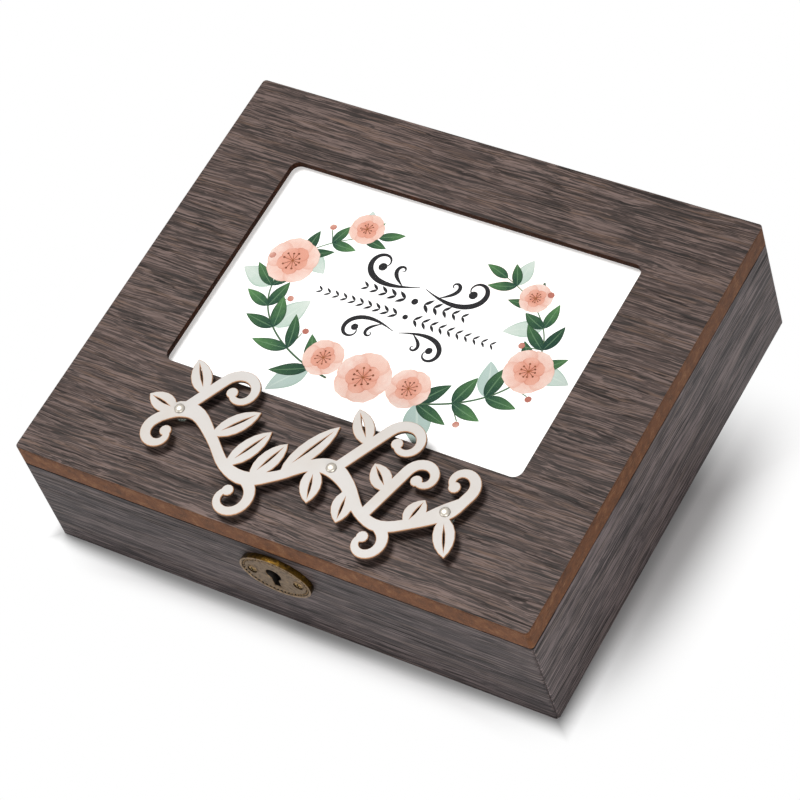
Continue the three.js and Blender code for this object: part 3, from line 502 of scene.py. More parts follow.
@dataclass(frozen=True)
class AntiqueBrass(Finish):
    """Cast brass darkened in a bath and rubbed back by hand.

    It gives the eye a dull taupe where it is rubbed, warm metal at the most worn places and brown-black
    where the bath stays.
    """

    face: str = "8f8069"
    patina: str = "5d5140"
    rubbed: str = "a88f62"
    roughness: float = 0.46
    metal: float = 0.8
    worn: float = 0.62

    def wire(self, tree: bpy.types.NodeTree, shader) -> None:
        """Builds the wear, the grime and the cast grain."""
        place = self.coordinates(tree)
        grime = add_node(
            tree,
            "ShaderNodeTexNoise",
            {},
            {"Vector": place, "Scale": 1 / (1.5 * MM), "Detail": 5.0, "Roughness": 0.65},
        ).outputs["Fac"]
        stops = [(0.36, linear(self.patina)), (0.52, linear(self.face)), (self.worn, linear(self.face))]
        stops.append((self.worn + 0.1, linear(self.rubbed)))
        colour = add_node(tree, "ShaderNodeValToRGB", {"stops": stops}, {"Fac": grime}).outputs["Color"]
        set_inputs(tree, shader, {"Base Color": colour, "Metallic": self.metal})
        rough = add_node(
            tree,
            "ShaderNodeMapRange",
            {},
            {"Value": grime, "To Min": self.roughness + 0.12, "To Max": self.roughness - 0.1},
        ).outputs["Result"]
        tree.links.new(rough, shader.inputs["Roughness"])
        # The cast grain is about 0.35 mm wide, coarser than the real one so that it shows.
        cast = add_node(
            tree, "ShaderNodeTexNoise", {}, {"Vector": place, "Scale": 1 / (0.35 * MM), "Detail": 2.0}
        ).outputs["Fac"]
        self.bump(tree, shader, cast, 0.03, 0.5)


@dataclass(frozen=True)
class Velvet(Finish):
    """Flocked paper or felt: a dark pile that lightens at a glancing look, with brushed patches."""

    colour: str = "2b2726"
    brushed: str = "3d3735"
    pile: float = 0.5
    depth: float = 0.25
    pile_share: float = 0.45
    sheen: float = 0.12

    def wire(self, tree: bpy.types.NodeTree, shader) -> None:
        """Builds the brushed patches and the pile."""
        place = self.coordinates(tree)
        patch = add_node(
            tree,
            "ShaderNodeTexNoise",
            {},
            {"Vector": place, "Scale": 1 / (22 * MM), "Detail": 4.0, "Distortion": 0.8},
        ).outputs["Fac"]
        pile = add_node(
            tree,
            "ShaderNodeTexNoise",
            {},
            {"Vector": place, "Scale": 1 / (self.pile * MM), "Detail": 3.0, "Roughness": 0.7},
        ).outputs["Fac"]
        inputs = {0: self.pile_share, 2: patch, 3: pile}
        both = add_node(tree, "ShaderNodeMix", {"data_type": "FLOAT"}, inputs).outputs[0]
        colour = add_node(
            tree,
            "ShaderNodeValToRGB",
            {"stops": [(0.36, linear(self.colour)), (0.66, linear(self.brushed))]},
            {"Fac": both},
        ).outputs["Color"]
        inputs = {
            "Base Color": colour,
            "Roughness": 0.95,
            "Sheen Weight": self.sheen,
            "Sheen Roughness": 0.4,
            "Specular IOR Level": 0.15,
        }
        set_inputs(tree, shader, inputs)
        self.bump(tree, shader, pile, self.depth, 0.6)


@dataclass(frozen=True)
class ClearPane(Finish):
    """Float glass over a print: nearly unseen, with a trace of green and a weak clean reflection."""

    colour: str = "1c2b25"
    alpha: float = 0.012
    roughness: float = 0.03

    def wire(self, tree: bpy.types.NodeTree, shader) -> None:
        """Sets the pane's thin see-through look, with smears that only change the gloss."""
        set_inputs(tree, shader, {"Base Color": linear(self.colour), "Alpha": self.alpha, "IOR": 1.52})
        smear = add_node(
            tree,
            "ShaderNodeTexNoise",
            {},
            {"Vector": self.coordinates(tree), "Scale": 1 / (40 * MM), "Detail": 3.0},
        ).outputs["Fac"]
        rough = add_node(
            tree,
            "ShaderNodeMapRange",
            {},
            {"Value": smear, "To Min": self.roughness, "To Max": 3 * self.roughness},
        ).outputs["Result"]
        tree.links.new(rough, shader.inputs["Roughness"])


@dataclass(frozen=True)
class ClearAcrylic(Finish):
    """Cut acrylic tube: clear with a grey-green cast and a sawn, slightly frosted end."""

    colour: str = "c4cec6"

    def wire(self, tree: bpy.types.NodeTree, shader) -> None:
        """Sets the tube's see-through body and its frosting."""
        inputs = {
            "Base Color": linear(self.colour),
            "Transmission Weight": 0.85,
            "IOR": 1.49,
        }
        set_inputs(tree, shader, inputs)
        frost = add_node(
            tree,
            "ShaderNodeTexNoise",
            {},
            {"Vector": self.coordinates(tree), "Scale": 1 / (0.6 * MM), "Detail": 3.0},
        ).outputs["Fac"]
        rough = add_node(
            tree, "ShaderNodeMapRange", {}, {"Value": frost, "To Min": 0.08, "To Max": 0.35}
        ).outputs["Result"]
        tree.links.new(rough, shader.inputs["Roughness"])


@dataclass(frozen=True)
class PrintPaper(Finish):
    """Coated white card: an even bright white with two very soft printed washes, a paper tooth and a painted
    glow.
    """

    colour: str = "f2f1f0"
    blush: str = "fbeae3"
    sage: str = "e9f1ea"
    # How strongly the card glows with painted light.
    painted_glow: float = 0.5

    def wire(self, tree: bpy.types.NodeTree, shader) -> None:
        """Builds the washes, the painted glow and the paper's tooth."""
        place = self.coordinates(tree)
        colour = linear(self.colour)
        # Each wash is its middle and its reach in millimetres, and its colour.
        washes = (
            ((-46, 30, 55), (30, 24, 30), self.sage),
            ((40, -8, 55), (32, 22, 30), self.sage),
            ((-4, -18, 55), (34, 14, 30), self.blush),
            ((30, 38, 55), (24, 16, 30), self.blush),
        )
        current = None
        for middle, reach, tone in washes:
            scale = [1 / (r * MM) for r in reach]
            inputs = {"Vector": place, "Scale": scale, "Location": [-m / r for m, r in zip(middle, reach)]}
            near = add_node(tree, "ShaderNodeMapping", {"vector_type": "POINT"}, inputs).outputs["Vector"]
            ball = add_node(
                tree, "ShaderNodeTexGradient", {"gradient_type": "SPHERICAL"}, {"Vector": near}
            ).outputs["Fac"]
            soft = add_node(
                tree,
                "ShaderNodeMapRange",
                {"interpolation_type": "SMOOTHERSTEP"},
                {"Value": ball, "To Max": 0.8},
            ).outputs["Result"]
            current = add_node(
                tree, "ShaderNodeMix", RGBA, {0: soft, 6: current or colour, 7: linear(tone)}
            ).outputs[2]
        tree.links.new(current, shader.inputs["Base Color"])
        # The card glows with painted light of its own, so it stays white in the shade under the lip.
        inputs = {
            "Emission Color": current,
            "Emission Strength": self.painted_glow,
            "Roughness": 0.55,
        }
        set_inputs(tree, shader, inputs)
        tooth = add_node(
            tree, "ShaderNodeTexNoise", {}, {"Vector": place, "Scale": 1 / (0.5 * MM), "Detail": 2.0}
        ).outputs["Fac"]
        self.bump(tree, shader, tooth, 0.004, 0.15)


@dataclass(frozen=True)
class WashInk(Finish):
    """Watercolour printed on card: a tone that pools darker at its rim and runs lighter to one end.

    The pattern follows each shape's own map: u runs from its foot to its tip and v across it. The
    attribute "tone" shifts each shape towards the second colour.
    """

    foot: str = "24483a"
    tip: str = "5f8f55"
    other: str = "17372f"
    rim: str = "16301f"
    vein: str = "7da37a"
    rim_share: float = 0.5
    vein_share: float = 0.0

    def wire(self, tree: bpy.types.NodeTree, shader) -> None:
        """Builds the run of colour, the pooled rim, the vein and the granulation."""
        place = self.coordinates(tree)
        map_node = add_node(tree, "ShaderNodeUVMap", {"uv_map": "shape"}).outputs["UV"]
        parts = add_node(tree, "ShaderNodeSeparateXYZ", {}, {"Vector": map_node})
        tone = add_node(tree, "ShaderNodeAttribute", {"attribute_name": "tone"}).outputs["Fac"]
        bloom = add_node(
            tree,
            "ShaderNodeTexNoise",
            {},
            {"Vector": place, "Scale": 1 / (2.4 * MM), "Detail": 4.0, "Roughness": 0.6, "Distortion": 0.6},
        ).outputs["Fac"]
        run = add_node(
            tree, "ShaderNodeMath", {"operation": "MULTIPLY_ADD"}, {0: bloom, 1: 0.9, 2: -0.45}
        ).outputs[0]
        run = add_node(
            tree, "ShaderNodeMath", {"operation": "ADD", "use_clamp": True}, {0: run, 1: parts.outputs["X"]}
        ).outputs[0]
        colour = add_node(
            tree, "ShaderNodeMix", RGBA, {0: run, 6: linear(self.foot), 7: linear(self.tip)}
        ).outputs[2]
        colour = add_node(tree, "ShaderNodeMix", RGBA, {0: tone, 6: colour, 7: linear(self.other)}).outputs[2]
        # v is 0.5 along the middle, so its distance from 0.5 is how near the rim a point is.
        inputs = {0: parts.outputs["Y"], 1: 0.5}
        side = add_node(tree, "ShaderNodeMath", {"operation": "SUBTRACT"}, inputs).outputs[0]
        side = add_node(tree, "ShaderNodeMath", {"operation": "ABSOLUTE"}, {0: side}).outputs[0]
        for low, high, share, tint in (
            (0.36, 0.49, self.rim_share, self.rim),
            (0.06, 0.02, self.vein_share, self.vein),
        ):
            mask = add_node(
                tree,
                "ShaderNodeMapRange",
                SMOOTH,
                {"Value": side, "From Min": low, "From Max": high, "To Max": share},
            ).outputs["Result"]
            colour = add_node(tree, "ShaderNodeMix", RGBA, {0: mask, 6: colour, 7: linear(tint)}).outputs[2]
        set_inputs(tree, shader, {"Base Color": colour, "Roughness": 0.6, "Specular IOR Level": 0.12})
        self.bump(tree, shader, bloom, 0.01, 0.2)


@dataclass(frozen=True)
class Hardboard(Finish):
    """Pressed hardboard: brown fibres with darker specks and the faint screen print of its back."""

    colour: str = "6d4c33"
    speck: str = "3f2a1b"

    def wire(self, tree: bpy.types.NodeTree, shader) -> None:
        """Builds the fibres, the specks and the screen print."""
        place = self.coordinates(tree)
        fibre = add_node(
            tree,
            "ShaderNodeTexNoise",
            {},
            {"Vector": place, "Scale": 1 / (1.4 * MM), "Detail": 6.0, "Roughness": 0.7, "Distortion": 1.2},
        ).outputs["Fac"]
        colour = add_node(
            tree,
            "ShaderNodeValToRGB",
            {"stops": [(0.34, linear(self.speck)), (0.56, linear(self.colour))]},
            {"Fac": fibre},
        ).outputs["Color"]
        set_inputs(tree, shader, {"Base Color": colour, "Roughness": 0.85})
        screen = add_node(
            tree,
            "ShaderNodeTexVoronoi",
            {"feature": "F1", "distance": "CHEBYCHEV"},
            {"Vector": place, "Scale": 1 / (1.8 * MM), "Randomness": 0.0},
        ).outputs["Distance"]
        self.bump(tree, shader, screen, 0.08, 0.5)


@dataclass(frozen=True)
class Rubber(Finish):
    """Moulded matt rubber with a fine dusty grain."""

    colour: str = "232323"
    dust: str = "3a3836"

    def wire(self, tree: bpy.types.NodeTree, shader) -> None:
        """Builds the dust and the moulded grain."""
        place = self.coordinates(tree)
        grain = add_node(
            tree, "ShaderNodeTexNoise", {}, {"Vector": place, "Scale": 1 / (0.5 * MM), "Detail": 3.0}
        ).outputs["Fac"]
        colour = add_node(
            tree,
            "ShaderNodeValToRGB",
            {"stops": [(0.42, linear(self.colour)), (0.74, linear(self.dust))]},
            {"Fac": grain},
        ).outputs["Color"]
        set_inputs(tree, shader, {"Base Color": colour, "Roughness": 0.8})
        self.bump(tree, shader, grain, 0.03, 0.4)


FRONT_LAYERS = oak_layers("272122", "6b5f5e", "161213", "5f5049")
FRONT_FILM = OakFilm("oak_film_front", "wall_board", Axis.X, "3b3334", FRONT_LAYERS, 50.0, 3.0)
# The end walls' film is a lighter copy of the front and back walls' film: painted light, which lifts the end
# walls to the front's brightness.
LIGHTENED_SIDE_LAYERS = oak_layers("2f292a", "807271", "1b1718", "71625a")
LIGHTENED_SIDE_FILM = OakFilm("oak_film_side_lightened", "wall_board", Axis.Y, "574e4e", LIGHTENED_SIDE_LAYERS, 70.0, 3.0)
LID_LAYERS = oak_layers("2a201c", "7e6b65", "160f0c", "775e4f", 0.4)
LID_FILM = OakFilm("oak_film_lid", "oak_sheet", Axis.X, "4c3d38", LID_LAYERS)
EDGE_PAINT = PaintedBoard("edge_paint_brown", "lid_board")
UNDERSIDE_PAINT = PaintedBoard("underside_paint", "lid_board", "4f3424", "4a3021", "553a29", 0.5)
# Near-black brown on the window's inner edges, and painted shade on the lid board's eased edges.
WINDOW_PAINT_AND_SHADE_LINE = PaintedBoard("window_paint_and_shade_line", "lid_board", "2c160b", "1b0d07", "45220f", 0.6, 0.04)
RAW_BOARD = PaintedBoard("raw_fibreboard", "wall_board", "5a412e", "46311f", "745842", 0.85)
# The keyhole's bore is painted near-black: painted shade where the hole looks dark.
KEYHOLE_SHADE_BOARD = PaintedBoard("keyhole_bore_shade", "wall_board", "120e0b", "0b0807", "1d1713", 0.9)
PEARL = PearlPaint("pearl_lacquer", "pearl_board")
BURNT = BurntEdge("laser_burnt_edge", "pearl_board")
NICKEL = Metal("satin_nickel", "nickel", "b3ada3", "857f76", 0.36)
PLAIN_BRASS = Metal("lacquered_brass", "plain_brass", "b89a66", "846b40", 0.34)
STEEL = Metal("zinc_plated_steel", "lock_steel", "6f6f73", "4f5055", 0.45)
OLD_BRASS = AntiqueBrass("antique_brass_face", "antique_brass", "6d5941", "473828", "866940")
BRASS_RIM = AntiqueBrass("antique_brass_rim", "antique_brass", "7d684f", "544330", "967a50")
BRASS_SIDE = AntiqueBrass(
    "antique_brass_side", "antique_brass", "4a3614", "2b1f0c", "6d511d", 0.36, 1.0, 0.55
)
BRASS_GROOVE = AntiqueBrass(
    "antique_brass_groove", "antique_brass", "17110b", "0c0805", "2a2014", 0.6, 0.6, 0.8
)
# The near-black in every screw's cross recess is patina on the antique brass screws and painted shade on the
# plain ones.
RECESS_PATINA_AND_SHADE = AntiqueBrass("screw_recess_patina_and_shade", "antique_brass", "17110b", "0c0805", "2a2014", 0.7, 0.4, 0.8)
OLD_SCREW = Metal("antique_brass_screw", "antique_brass", "8f7444", "2c2013", 0.36, Axis.X, 0.85)
VELVET = Velvet("flocked_velvet", "lining_velvet")
FELT = Velvet("pressed_felt", "felt", "1d1c1d", "2c2a2a", 0.9, 0.3)
GLASS = ClearPane("float_glass", "clear_glass")
ACRYLIC = ClearAcrylic("clear_acrylic", "clear_plastic")
PAPER = PrintPaper("coated_card", "printed_card")
HARDBOARD = Hardboard("pressed_hardboard", "hardboard")
RUBBER = Rubber("matt_rubber", "bumper_rubber")
LEAF_INK = WashInk("leaf_wash", "printed_card", vein_share=0.5)
SAGE_INK = WashInk("sage_wash", "printed_card", "c4d9ca", "e3ece2", "b5cbc4", "a9c3b3", "dfeae0", 0.6, 0.5)
PETAL_INK = WashInk("petal_wash", "printed_card", "eaa48d", "fbe3d8", "f6cab8", "eab29e", "e3a08c", 0.45, 0.0)
INNER_INK = WashInk(
    "inner_petal_wash", "printed_card", "dd8a72", "f3bda9", "e8a48e", "d3836c", "e3a08c", 0.5, 0.0
)
BERRY_INK = WashInk("berry_wash", "printed_card", "c98272", "e7b3a2", "b96f60", "a85f50", "f3d2c6", 0.6, 0.0)
STAMEN_INK = WashInk(
    "stamen_wash", "printed_card", "a8653a", "8a4a2b", "6e3a24", "6e3a24", "f3d2c6", 0.4, 0.0
)
STEM_INK = WashInk("stem_wash", "printed_card", "3c5a44", "6f8a63", "55704f", "31493a", "55704f", 0.2, 0.0)
PEN_INK = WashInk("pen_black", "printed_card", "1c1b1d", "242326", "1c1b1d", "151416", "1c1b1d", 0.2, 0.0)
# Each ink of the card's print, and its height over the card in millimetres. The glass is 0.1 mm away.
PRINT_INKS = {
    "sage_leaves": (SAGE_INK, 0.007),
    "stems": (STEM_INK, 0.022),
    "leaves": (LEAF_INK, 0.030),
    "pen": (PEN_INK, 0.030),
    "petals": (PETAL_INK, 0.046),
    "inner_petals": (INNER_INK, 0.062),
    "berries": (BERRY_INK, 0.062),
    "stamens": (STAMEN_INK, 0.078),
}


# Meshes


# The most that the normal of an upright face rises, and the least that a level one's does.
UPRIGHT = 0.3
LEVEL = 0.9


def shade(bm: bmesh.types.BMesh, degrees: float = 32.0) -> None:
    """Shades a mesh smooth, and keeps every edge sharper than an angle hard."""
    limit = math.radians(degrees)
    for face in bm.faces:
        face.smooth = True
    for edge in bm.edges:
        edge.smooth = len(edge.link_faces) == 2 and edge.calc_face_angle(0.0) < limit


def place_piece(
    name: str,
    bm: bmesh.types.BMesh,
    body: Body,
    finishes: Finish | Iterable[Finish],
    nodes: Iterable[str] = (),
    weighted: bool = False,
) -> bpy.types.Object:
    """Makes an object from a mesh, dresses it and fixes it to its body.

    Args:
        name: The piece's name.
        bm: Its mesh, with its place in it. It is freed.
        body: The body that it rides on.
        finishes: Its finish, or one for each of its material numbers.
        nodes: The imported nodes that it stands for.
        weighted: Whether its flat faces keep their own normals beside a bevel.

    Returns:
        The new object.
    """
    several = [finishes] if isinstance(finishes, Finish) else list(finishes)
    mesh = bpy.data.meshes.new(name)
    bm.to_mesh(mesh)
    bm.free()
    for finish in several:
        mesh.materials.append(finish.material())
    piece = bpy.data.objects.new(name, mesh)
    bpy.context.scene.collection.objects.link(piece)
    if weighted:
        modifier = piece.modifiers.new("flat_faces_first", "WEIGHTED_NORMAL")
        modifier.keep_sharp = True
    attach(piece, body.value)
    if nodes:
        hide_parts(*nodes)
    log.info("made %s for %s, %d faces", name, list(nodes) or "the looks", len(mesh.polygons))
    return piece


def dress(node: str, finish: Finish) -> None:
    """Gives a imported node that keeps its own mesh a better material."""
    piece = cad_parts[node]
    if not piece.material_slots:
        piece.data.materials.append(None)
    for slot in piece.material_slots:
        slot.material = finish.material()
    log.info("dressed %s with %s", node, finish.name)


def merged_copy(node: str, gap: float = 0.002, flat: float = 0.4) -> bmesh.types.BMesh:
    """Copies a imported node's mesh, and merges its loose triangles into whole faces.

    Args:
        node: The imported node.
        gap: Points nearer than this are merged, in millimetres.
        flat: Faces that meet at less than this angle are joined, in degrees.

    Returns:
        The merged mesh.
    """
    bm = bmesh.new()
    bm.from_mesh(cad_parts[node].data)
    for face in bm.faces:
        face.material_index = 0
    bmesh.ops.remove_doubles(bm, verts=bm.verts, dist=gap * MM)
    bmesh.ops.dissolve_degenerate(bm, dist=0.001 * MM, edges=bm.edges)
    bmesh.ops.dissolve_limit(
        bm,
        angle_limit=math.radians(flat),
        use_dissolve_boundaries=False,
        verts=bm.verts,
        edges=bm.edges,
        delimit=set(),
    )
    return bm


def ease(
    bm: bmesh.types.BMesh,
    width: float,
    segments: int = 2,
    sharper: float = 50.0,
    clamp: bool = True,
    chosen: Callable[[bmesh.types.BMEdge], bool] | None = None,
) -> None:
    """Bevels a mesh's outward edges.

    Args:
        bm: The mesh.
        width: The bevel's width, in millimetres.
        segments: The bevel's steps.
        sharper: Only edges that turn by more than this are bevelled, in degrees.
        clamp: Whether the width gives way where there is no room.
        chosen: A further test that an edge has to pass.
    """
    edges = [
        e
        for e in bm.edges
        if len(e.link_faces) == 2
        and e.is_convex
        and e.calc_face_angle(0.0) > math.radians(sharper)
        and (chosen is None or chosen(e))
    ]
    bmesh.ops.bevel(
        bm,
        geom=edges,
        offset=width * MM,
        offset_type="OFFSET",
        affect="EDGES",
        segments=segments,
        profile=0.5,
        material=-1,
        clamp_overlap=clamp,
    )


def spun(profile: Iterable[tuple[float, float]], steps: int = 32) -> bmesh.types.BMesh:
    """Spins a profile of radius and height, in millimetres, round the Z axis.

    Args:
        profile: The profile's points, from one end to the other.
        steps: The number of steps in the full turn.

    Returns:
        The closed mesh, with its faces outwards.
    """
    bm = bmesh.new()
    points = [bm.verts.new((radius * MM, 0.0, height * MM)) for radius, height in profile]
    for first, second in zip(points, points[1:]):
        bm.edges.new((first, second))
    bmesh.ops.spin(
        bm,
        geom=bm.verts[:] + bm.edges[:],
        cent=(0, 0, 0),
        axis=(0, 0, 1),
        angle=math.tau,
        steps=steps,
        use_merge=True,
    )
    bmesh.ops.remove_doubles(bm, verts=bm.verts, dist=0.0005 * MM)
    bmesh.ops.recalc_face_normals(bm, faces=bm.faces)
    return bm


def cut_out(bm: bmesh.types.BMesh, tool: bmesh.types.BMesh) -> bmesh.types.BMesh:
    """Cuts one closed mesh out of another.

    Args:
        bm: The mesh that is cut. It is freed.
        tool: The mesh that is taken away. It is freed.

    Returns:
        What is left.
    """
    objects = []
    for role, source in (("blank", bm), ("tool", tool)):
        mesh = bpy.data.meshes.new(role)
        source.to_mesh(mesh)
        source.free()
        item = bpy.data.objects.new(role, mesh)
        bpy.context.scene.collection.objects.link(item)
        objects.append(item)
    blank, cutter = objects
    modifier = blank.modifiers.new("cut", "BOOLEAN")
    modifier.operation = "DIFFERENCE"
    modifier.solver = "EXACT"
    modifier.object = cutter
    bpy.context.view_layer.update()
    made = bpy.data.meshes.new_from_object(blank.evaluated_get(bpy.context.evaluated_depsgraph_get()))
    rest = bmesh.new()
    rest.from_mesh(made)
    for item in objects:
        bpy.data.objects.remove(item)
    bpy.data.meshes.remove(made)
    return rest


def block(low: Point, high: Point) -> bmesh.types.BMesh:
    """Returns a block between two corners, in millimetres."""
    bm = bmesh.new()
    bmesh.ops.create_cube(bm, size=1.0)
    size = [(b - a) * MM for a, b in zip(low, high)]
    middle = [(a + b) / 2 * MM for a, b in zip(low, high)]
    bmesh.ops.scale(bm, vec=size, verts=bm.verts)
    bmesh.ops.translate(bm, vec=middle, verts=bm.verts)
    return bm


def corners(node: str) -> tuple[Vector, Vector]:
    """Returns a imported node's lowest and highest corners at rest, in millimetres."""
    low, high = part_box(node)
    return low / MM, high / MM


def centre(node: str) -> Vector:
    """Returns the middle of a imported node's box, in millimetres."""
    low, high = corners(node)
    return (low + high) / 2


def eased_copy(
    name: str,
    node: str,
    body: Body,
    finishes: Finish | Iterable[Finish],
    width: float,
    segments: int = 2,
    paint: Callable[[bmesh.types.BMFace], int] | None = None,
    chosen: Callable[[bmesh.types.BMEdge], bool] | None = None,
) -> bpy.types.Object:
    """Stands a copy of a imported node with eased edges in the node's place.

    Args:
        name: The piece's name.
        node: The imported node.
        body: The body that it rides on.
        finishes: Its finishes.
        width: The width of its eased edges, in millimetres.
        segments: The steps in an eased edge.
        paint: Gives a face its material number.
        chosen: Tells whether an edge is eased. Without it, all the sharp ones are.

    Returns:
        The new object.
    """
    bm = merged_copy(node)
    if paint is not None:
        for face in bm.faces:
            face.material_index = paint(face)
    ease(bm, width, segments, chosen=chosen)
    shade(bm)
    return place_piece(name, bm, body, finishes, (node,), weighted=True)


def spun_piece(
    name: str,
    node: str,
    body: Body,
    finish: Finish,
    profile: Iterable[tuple[float, float]],
    steps: int,
    base: float = 0.0,
) -> bpy.types.Object:
    """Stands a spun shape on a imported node's upright middle line, in the node's place.

    Args:
        name: The piece's name.
        node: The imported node.
        body: The body that it rides on.
        finish: Its finish.
        profile: Its points of radius and height, in millimetres, from one end to the other.
        steps: The number of steps in the full turn.
        base: The height that the profile's zero stands at, in millimetres.

    Returns:
        The new object.
    """
    bm = spun(profile, steps)
    middle = centre(node)
    bmesh.ops.translate(bm, vec=Vector((middle.x, middle.y, base)) * MM, verts=bm.verts)
    shade(bm, 40)
    return place_piece(name, bm, body, finish, (node,))


# Sub-assemblies


@dataclass
class Screw:
    """A cross-head screw that takes the place of a packed one."""

    head: float = 1.9
    head_height: float = 1.0
    dome: float = 0.0
    shank: float = 0.85
    edge: float = 0.12
    cross_width: float = 0.46
    cross_length: float = 1.3
    cross_depth: float = 0.62
    close: float = 0.01
    finish: Finish = PLAIN_BRASS
    recess: Finish = RECESS_PATINA_AND_SHADE

    def build(self, name: str, node: str, way: Way, body: Body) -> bpy.types.Object:
        """Builds the screw in its node's box.

        Args:
            name: The piece's name.
            node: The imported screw.
            way: The way that its shank points.
            body: The body that it rides on.

        Returns:
            The new object.
        """
        low, high = corners(node)
        point = Vector(way.value)
        along = max(range(3), key=lambda i: abs(point[i]))
        length = high[along] - low[along] - self.dome
        rise, edge, close = self.dome, self.edge, self.close
        profile = [(0, -length), (self.shank, self.shank - length), (self.shank, -self.head_height)]
        if rise:
            profile += [(self.head - edge, -self.head_height), (self.head, -edge), (self.head, 0)]
            profile += [(self.head * math.cos(a), rise * math.sin(a)) for a in (0.35, 0.7, 1.05, 1.35)]
        else:
            # A flat head is a cone down to the shank.
            profile += [(self.head, -edge), (self.head - edge / 2, 0)]
        bm = spun([*profile, (0, rise)], 28)
        half, arm, deep = self.cross_width / 2, self.cross_length, -self.cross_depth * self.head_height
        for x, y in ((arm, half), (half, arm)):
            bm = cut_out(bm, block((-x, -y, deep), (x, y, rise + 1)))
        for face in bm.faces:
            spot = face.calc_center_median() / MM
            inside = max(abs(spot.x), abs(spot.y)) < arm + close and spot.z > deep - close
            # The cross recess takes the second finish, a near-black of patina and painted shade.
            face.material_index = int(inside and (abs(face.normal.z) < 0.1 or abs(spot.z - deep) < close))
        turn = Vector((0, 0, -1)).rotation_difference(point).to_matrix().to_4x4()
        bmesh.ops.transform(bm, matrix=turn, verts=bm.verts)
        head_face = low[along] + rise if point[along] > 0 else high[along] - rise
        where = (low + high) / 2
        where[along] = head_face
        bmesh.ops.translate(bm, vec=where * MM, verts=bm.verts)
        shade(bm, 38)
        return place_piece(name, bm, body, (self.finish, self.recess), (node,))


@dataclass
class Carcass:
    """The base: four mitred walls in film, the bottom let in below, and felt under it."""

    half_length: float = 105.0
    half_depth: float = 89.5
    height: float = 46.5
    arris: float = 0.35
    felt_radius: float = 2.0
    felt_edge: float = 0.3
    outer_band: float = 1.6
    end_band: float = 0.2
    keyhole_half: float = 3.6
    keyhole_deep: tuple[float, float] = (0.3, 8.9)
    keyhole_high: tuple[float, float] = (20.0, 42.0)

    def is_outer(self, middle: Vector) -> tuple[bool, bool]:
        """Tells whether a point is in the outer band of the box's length, and in that of its depth."""
        across = abs(middle.x) > self.half_length - self.outer_band
        return across, abs(middle.y) > self.half_depth - self.outer_band

    def film_or_board(self, face: bmesh.types.BMFace) -> int:
        """Returns 0 for a wall's face that is wrapped in film, 1 for a cut one and 2 in the keyhole's bore,
        whose near-black is painted shade.
        """
        middle, normal = face.calc_center_median() / MM, face.normal
        upright = abs(normal.z) < UPRIGHT
        rim = middle.z > self.height - self.end_band and normal.z > LEVEL
        foot = middle.z < self.end_band and normal.z < -LEVEL
        mitre = abs(abs(normal.x) - abs(normal.y)) < 0.1 and upright
        deep = self.half_depth - abs(middle.y)
        in_bore = self.keyhole_deep[0] < deep < self.keyhole_deep[1]
        at_height = self.keyhole_high[0] < middle.z < self.keyhole_high[1]
        # The keyhole's bore takes the near-black painted shade.
        if abs(middle.x) < self.keyhole_half and middle.y < 0 and in_bore and at_height:
            return 2
        return 0 if (any(self.is_outer(middle)) and upright and not mitre) or rim or foot else 1

    def off_mitre(self, edge: bmesh.types.BMEdge) -> bool:
        """Tells whether an edge is off the outer corners, where the film is folded sharp over the mitre."""
        middle = (edge.verts[0].co + edge.verts[1].co) / (2 * MM)
        upright = abs(edge.verts[0].co.z - edge.verts[1].co.z) > 5 * MM
        return not (upright and all(self.is_outer(middle)))

    def build(self) -> None:
        """Builds the walls, the bottom and the felt."""
        # The end walls take the lighter copy of the film, which is painted light.
        for node, film in (
            ("front_wall", FRONT_FILM),
            ("back_wall", FRONT_FILM),
            ("left_wall", LIGHTENED_SIDE_FILM),
            ("right_wall", LIGHTENED_SIDE_FILM),
        ):
            finishes = (film, RAW_BOARD, KEYHOLE_SHADE_BOARD)
            rules = (self.film_or_board, self.off_mitre)
            eased_copy(node + "_wrapped", node, Body.BASE, finishes, self.arris, 2, *rules)
        eased_copy("bottom_board", "bottom_panel", Body.BASE, HARDBOARD, 0.3)
        self.build_felt()

    def build_felt(self) -> None:
        """Builds the felt as a sheet with cut corners and a soft edge."""
        low, high = corners("bottom_felt")
        bm = block(low, high)
        tall = 0.5 * (high.z - low.z) * MM
        bmesh.ops.bevel(
            bm,
            geom=[e for e in bm.edges if abs((e.verts[0].co - e.verts[1].co).z) > tall],
            offset=self.felt_radius * MM,
            affect="EDGES",
            segments=5,
            profile=0.5,
            material=-1,
        )
        ease(bm, self.felt_edge, 3, 60)
        shade(bm, 50)
        felt = place_piece("base_felt", bm, Body.BASE, FELT, ("bottom_felt",), weighted=True)


